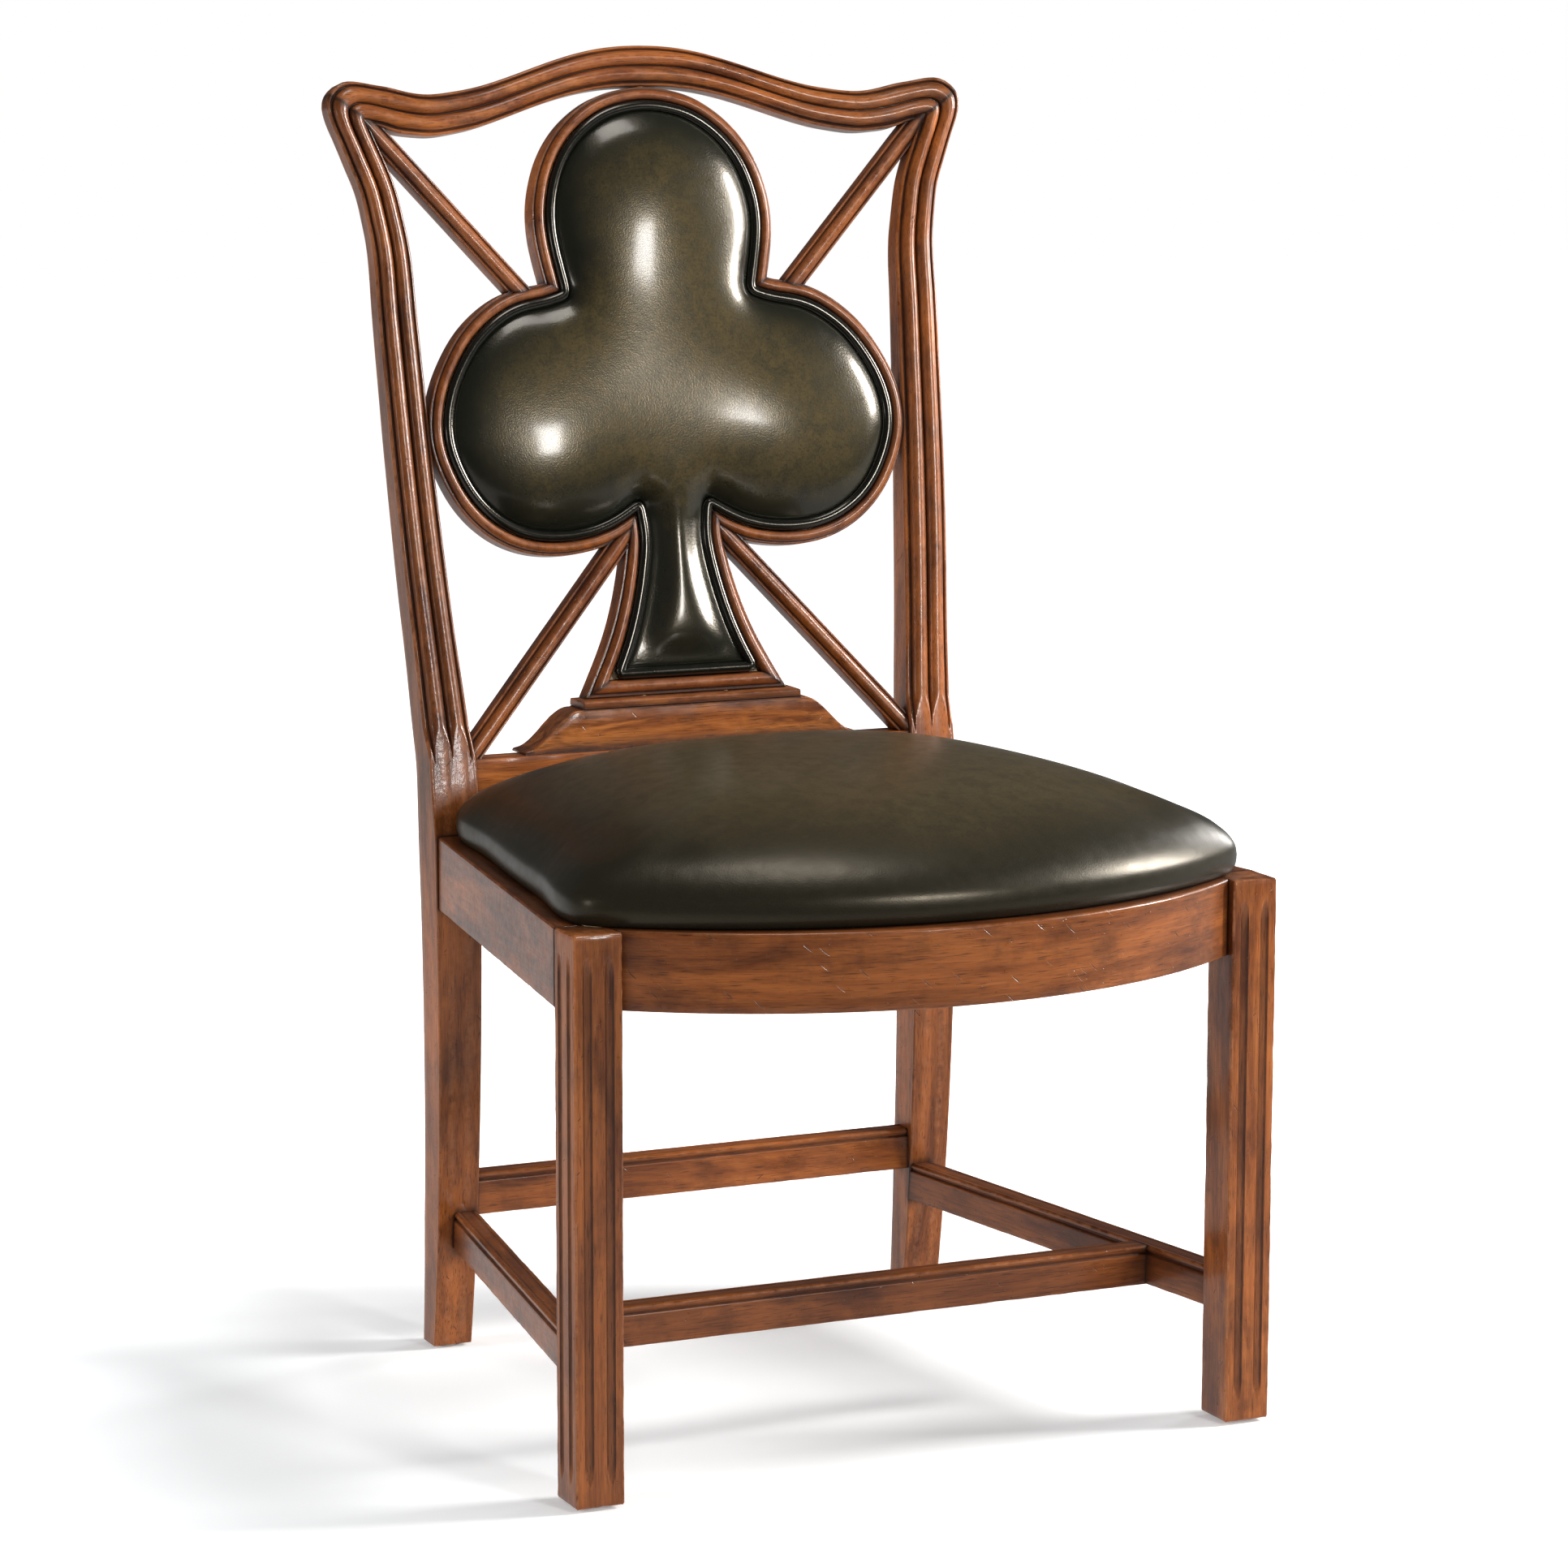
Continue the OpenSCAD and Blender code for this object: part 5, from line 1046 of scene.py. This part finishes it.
def mahogany():
    """Satin lacquer over stained wood: streaks, figure, pores, glaze with painted shade in the grooves and joints, a
    painted lighter or darker tone per piece, rubbed arrises, and nicks with painted highlights round them.
    """
    g = Graph(bpy.data.materials.new("mahogany"))
    at = g.attr("grain", "Vector")
    tone, figure = g.attr("tone"), g.attr("figure")
    broad = g.noise(g.place(at, (26, 26, 5.0)), 1, 5, 0.62, 0.8)
    colour = g.mix(g.range(broad, 0.36, 0.64), (0.100, 0.0250, 0.0058), (0.345, 0.101, 0.0215))
    streak = g.noise(g.place(at, (230, 230, 9.0)), 1, 4, 0.65)
    colour = g.mix(g.range(streak, 0.42, 0.74, 0, 0.44), colour, (0.080, 0.0215, 0.0070))
    golden = g.noise(g.place(at, (60, 60, 9.0), (3, 1, 5)), 1, 4, 0.62, 1.4)
    golden = g.times(g.range(golden, 0.46, 0.66), figure, True)
    colour = g.mix(g.times(golden, 0.75), colour, (0.49, 0.168, 0.036))
    fibre = g.noise(g.place(at, (900, 900, 22)), 1, 2, 0.5)
    pores = g.range(g.noise(g.place(at, (1300, 1300, 60), (2, 7, 1)), 1, 1, 0.4), 0.60, 0.69)
    colour = g.mix(1.0, colour, g.mix(fibre, (0.70, 0.68, 0.66), (1.3, 1.28, 1.24)), "MULTIPLY")
    colour = g.mix(g.times(pores, 0.6), colour, (0.030, 0.010, 0.005))
    # The tone multiplies the colour: partly the wood's own tone, partly painted light and shade.
    shade = g.plus(tone, 1.0)
    colour = g.mix(1.0, colour, g.node("CombineColor", {0: shade, 1: shade, 2: shade}).outputs[0], "MULTIPLY")
    patina, fine = g.noise(at, 24, 5, 0.66), g.noise(at, 150, 3, 0.6)
    rub = g.times(g.attr("wear"), g.range(g.plus(patina, g.times(fine, 0.6)), 0.72, 0.92), True)
    colour = g.mix(g.times(rub, 0.6), colour, (0.46, 0.17, 0.065))
    # Glaze and painted shade in hollows and at joints, broken up by the patina noise; random stains darken it too.
    glaze_and_shade = g.range(g.plus(patina, g.times(fine, 0.3)), 0.25, 0.8, 0.5, 1.05)
    glaze_and_shade = g.times(g.attr("glaze_and_painted_shade"), glaze_and_shade, True)
    stain = g.times(g.range(patina, 0.50, 0.70), 0.45)
    colour = g.mix(g.math("MAXIMUM", g.times(glaze_and_shade, 0.93), stain), colour, (0.027, 0.009, 0.0045))
    # Scratches, short checks and pinholes stand where a cell's own random colour picks it
    nick = None
    kinds = (((0, 0.65, 0), (300, 300, 26), 0.065, 0.10), ((-0.7, 0, 0), (300, 300, 26), 0.065, 0.13),
             ((0.15, -0.8, 0), (330, 330, 34), 0.065, 0.11), ((0.2, 0.1, 0), (120, 120, 120), 0.05, 0.07))
    for k, (angles, scale, width, share) in enumerate(kinds):
        place = g.place(g.place(at, angles=angles), scale, (k * 3.1,) * 3)
        cell = g.node("TexVoronoi", {"Vector": place, "Scale": 1.0, "Randomness": 1.0}).outputs
        chosen = g.math("LESS_THAN", g.node("SeparateColor", {0: cell["Color"]}).outputs[0], share)
        spot = g.times(g.range(cell["Distance"], width * 0.7, width * 2.6, 1, 0, True), chosen)
        nick = spot if nick is None else g.math("MAXIMUM", nick, spot)
    # A pale rim round each mark is a painted highlight; its middle is darker.
    colour = g.mix(g.range(nick, 0.0, 0.3, 0, 0.14), colour, (0.60, 0.26, 0.11))
    colour = g.mix(g.range(nick, 0.35, 0.8, 0, 0.85), colour, (0.022, 0.008, 0.005))
    normal = g.bump(g.noise(at, 14, 2, 0.5), 0.0010, 0.4)
    for height, distance, strength in ((g.noise(at, 90, 3, 0.6), 0.00030, 0.6), (fibre, 0.00006, 0.6),
                                       (g.times(g.attr("wear"), patina), 0.0010, 0.5),
                                       (g.math("SUBTRACT", 1.0, nick), 0.00030, 0.7)):
        normal = g.bump(height, distance, strength, normal)
    rough = g.plus(g.range(fine, 0.3, 0.7, 0.27, 0.38), g.times(glaze_and_shade, 0.2))
    return g.surface(Base_Color=colour, Roughness=rough, Specular_IOR_Level=0.34, Coat_Weight=0.28, Coat_Roughness=0.11,
                     Normal=normal, Coat_Normal=normal)


def hide(name, centre, rim, rough, pebble, mottle=1.0, coat=0.3, gloss=0.5):
    """Antiqued leather: lighter in the middle and dark towards its edges, with a fine mottle and a pebbled skin."""
    g = Graph(bpy.data.materials.new(name))
    at = g.node("TexCoord").outputs["Object"]
    cloud, blot, fine = g.noise(at, 9, 6, 0.62, 0.6), g.noise(at, 75, 5, 0.66, 0.4), g.noise(at, 480, 3, 0.6)
    pebbles = g.node("TexVoronoi", {"Vector": at, "Scale": 900.0}, feature="SMOOTH_F1").outputs["Distance"]
    reach = g.plus(g.attr("edge"), g.times(g.math("SUBTRACT", cloud, 0.5), 0.6 * mottle))
    colour = g.mix(g.range(reach, 0.12, 0.8, smooth=True), rim, centre)
    colour = g.mix(g.times(g.range(blot, 0.42, 0.66), 0.45 * mottle), colour, rim)
    colour = g.mix(g.times(g.range(fine, 0.45, 0.70), 0.40 * mottle), colour, rim)
    normal = g.bump(fine, 0.00010, pebble * 0.8, g.bump(pebbles, 0.00020, pebble, g.bump(cloud, 0.0022, 0.10)))
    return g.surface(Base_Color=colour, Roughness=g.range(blot, 0.3, 0.7, rough - 0.03, rough + 0.05), Normal=normal,
                     Specular_IOR_Level=gloss, Specular_Tint=(1.0, 0.86, 0.66), Coat_Weight=coat, Coat_Roughness=0.13)


def plain(name, colour, rough, grain, bump=0.0, metal=0.0):
    """A simple finish with a little variation, stretched along the grain where the piece is raw wood."""
    g = Graph(bpy.data.materials.new(name))
    at = g.node("TexCoord").outputs["Object"]
    vary = g.noise(g.place(at, grain), 1, 4, 0.6)
    tint = g.mix(g.range(vary, 0.3, 0.7), tuple(0.62 * c for c in colour), colour)
    normal = g.bump(g.noise(g.place(at, tuple(s * 9 for s in grain)), 1, 2), 0.0002, bump)
    rough = g.range(vary, 0.3, 0.7, rough - 0.06, rough + 0.06)
    return g.surface(Base_Color=tint, Roughness=rough, Metallic=metal, Normal=normal)


def give(obj, look):
    obj.data.materials.clear()
    obj.data.materials.append(look)


wood_look = mahogany()
for o in wood_pieces:
    give(o, wood_look)
give(pad, hide("leather_pad", (0.074, 0.054, 0.0225), (0.0085, 0.0095, 0.0062), 0.235, 0.4, 1.25, 0.5, 0.4))
give(seat, hide("leather_seat", (0.072, 0.053, 0.026), (0.014, 0.0125, 0.0075), 0.31, 0.2, 0.85, 0.0, 0.44))
give(welt_piece, hide("leather_welt", (0.006, 0.007, 0.006), (0.003, 0.0038, 0.0032), 0.2, 0.2, coat=0.5))
give(panel, hide("leather_panel", (0.040, 0.032, 0.020), (0.010, 0.010, 0.008), 0.36, 0.5))
# Hidden pieces take the first look whose word is in their name
PALE_BEECH, BEECH = (0.55, 0.36, 0.19), (0.50, 0.30, 0.15)
inner_looks = {
    "screw": plain("bright_steel", (0.42, 0.42, 0.44), 0.32, (60, 60, 60), metal=1.0),
    "dowel": plain("beech_pins", PALE_BEECH, 0.6, (20, 20, 160), 0.3),
    "spline": plain("beech_splines", PALE_BEECH, 0.6, (20, 160, 20), 0.3),
    "dust": plain("dust_cloth", (0.016, 0.016, 0.018), 0.9, (900, 900, 900), 0.8),
    "block": plain("beech_blocks", BEECH, 0.6, (18, 140, 140), 0.3),
    "cleat": plain("beech_cleat", BEECH, 0.6, (18, 140, 140), 0.3),
    "board": plain("birch_ply", (0.60, 0.43, 0.25), 0.62, (14, 220, 220), 0.3),
    "glide": plain("glide_plastic", (0.72, 0.70, 0.64), 0.45, (40, 40, 40), 0.1),
}
for name, o in frame["nodes"].items():
    if o.hide_render:
        continue
    look = next((look for word, look in inner_looks.items() if word in name), None)
    if look is None:
        raise SystemExit(f"no finish for {name}")
    give(o, look)
    o.data.polygons.foreach_set("use_smooth", [False] * len(o.data.polygons))

# ---------- floor, light and camera
WHITE = (1, 1, 1)
FLOOR_HALF, FLOOR_NEAR, FLOOR_FAR, FLOOR_GLOW, FLOOR_IN_GLOSS, ROOM = 14.0, 0.42, 0.95, 0.22, 0.60, 0.075


def floor():
    """Pale paper that the camera sees turn white further out. Gloss sees it as nearly white, but for its far front."""
    mesh = bpy.data.meshes.new("floor")
    s = FLOOR_HALF
    mesh.from_pydata([(-s, -s, 0), (s, -s, 0), (s, s, 0), (-s, s, 0)], [], [(0, 1, 2, 3)])
    g = Graph(bpy.data.materials.new("white_floor"))
    at = g.node("TexCoord").outputs["Object"]
    path = g.node("LightPath").outputs
    out = g.node("VectorMath", {0: at}, operation="LENGTH").outputs["Value"]
    glow = g.times(g.range(out, FLOOR_NEAR, FLOOR_FAR, FLOOR_GLOW, 1.0, smooth=True), path["Is Camera Ray"])
    glow = g.node("Emission", {"Color": WHITE, "Strength": glow}).outputs[0]
    paper = g.node("BsdfDiffuse", {"Color": (0.86, 0.875, 0.885)}).outputs[0]
    paper = g.node("AddShader", {0: paper, 1: glow}).outputs[0]
    gloss = g.range(g.node("SeparateXYZ", {0: at}).outputs["Y"], -2.0, -1.0, 0.05, FLOOR_IN_GLOSS, smooth=True)
    mirrored = g.node("Emission", {"Color": WHITE, "Strength": gloss}).outputs[0]
    both = g.node("MixShader", {0: path["Is Glossy Ray"], 1: paper, 2: mirrored})
    mesh.materials.append(g.close(both))
    new_object("floor", mesh)


def world():
    """White to the camera, and a dim studio for light and gloss."""
    g = Graph(bpy.data.worlds.new("world"), "OutputWorld")
    strength = g.math("MAXIMUM", g.node("LightPath").outputs["Is Camera Ray"], ROOM)
    scene.world = g.close(g.node("Background", {"Color": WHITE, "Strength": strength}))


def area_light(name, place, target_z, size, power, colour=WHITE, mirrored=True):
    data = bpy.data.lights.new(name, "AREA")
    data.shape, data.size, data.size_y = "RECTANGLE", size[0], size[1]
    data.energy, data.color = power, colour
    obj = new_object(name, data)
    obj.location = place
    obj.rotation_euler = (Vector((0, 0, target_z)) - Vector(place)).to_track_quat("-Z", "Y").to_euler()
    obj.visible_glossy = mirrored


floor()
world()
COOL = (0.98, 0.99, 1)
area_light("key", (3.0, -0.85, 1.75), 0.5, (0.7, 1.1), 150, (1, 0.985, 0.96))
area_light("right", (2.9, 1.05, 1.35), 0.5, (0.6, 1.0), 30)
area_light("front", (0.98, -3.5, 1.6), 0.6, (0.5, 0.8), 54)
area_light("glint", (-2.9, -0.8, 0.9), 0.5, (0.3, 0.5), 5)
area_light("fill", (-1.5, -3.0, 1.5), 0.6, (0.5, 1.3), 12, mirrored=False)
area_light("left", (-3.1, 0.55, 1.2), 0.5, (0.8, 1.2), 40, COOL, mirrored=False)
area_light("left_back", (-1.75, 2.9, 1.3), 0.5, (0.9, 1.2), 20, COOL, mirrored=False)
area_light("top", (0.1, -0.4, 3.0), 0.4, (0.8, 1.0), 17)

cam = bpy.data.cameras.new("camera")
camera = new_object("camera", cam)
right, forward = Vector((0.90928, -0.41619, 0.00138)).normalized(), Vector((0.41106, 0.89753, -0.15960)).normalized()
up = right.cross(forward).normalized()
camera.matrix_world = Matrix(((right.x, up.x, -forward.x, -1.562), (right.y, up.y, -forward.y, -3.387819),
                              (right.z, up.z, -forward.z, 1.0773), (0, 0, 0, 1)))
cam.lens, cam.sensor_width = 113.04, 36
scene.camera = camera
scene.view_settings.view_transform = "Standard"
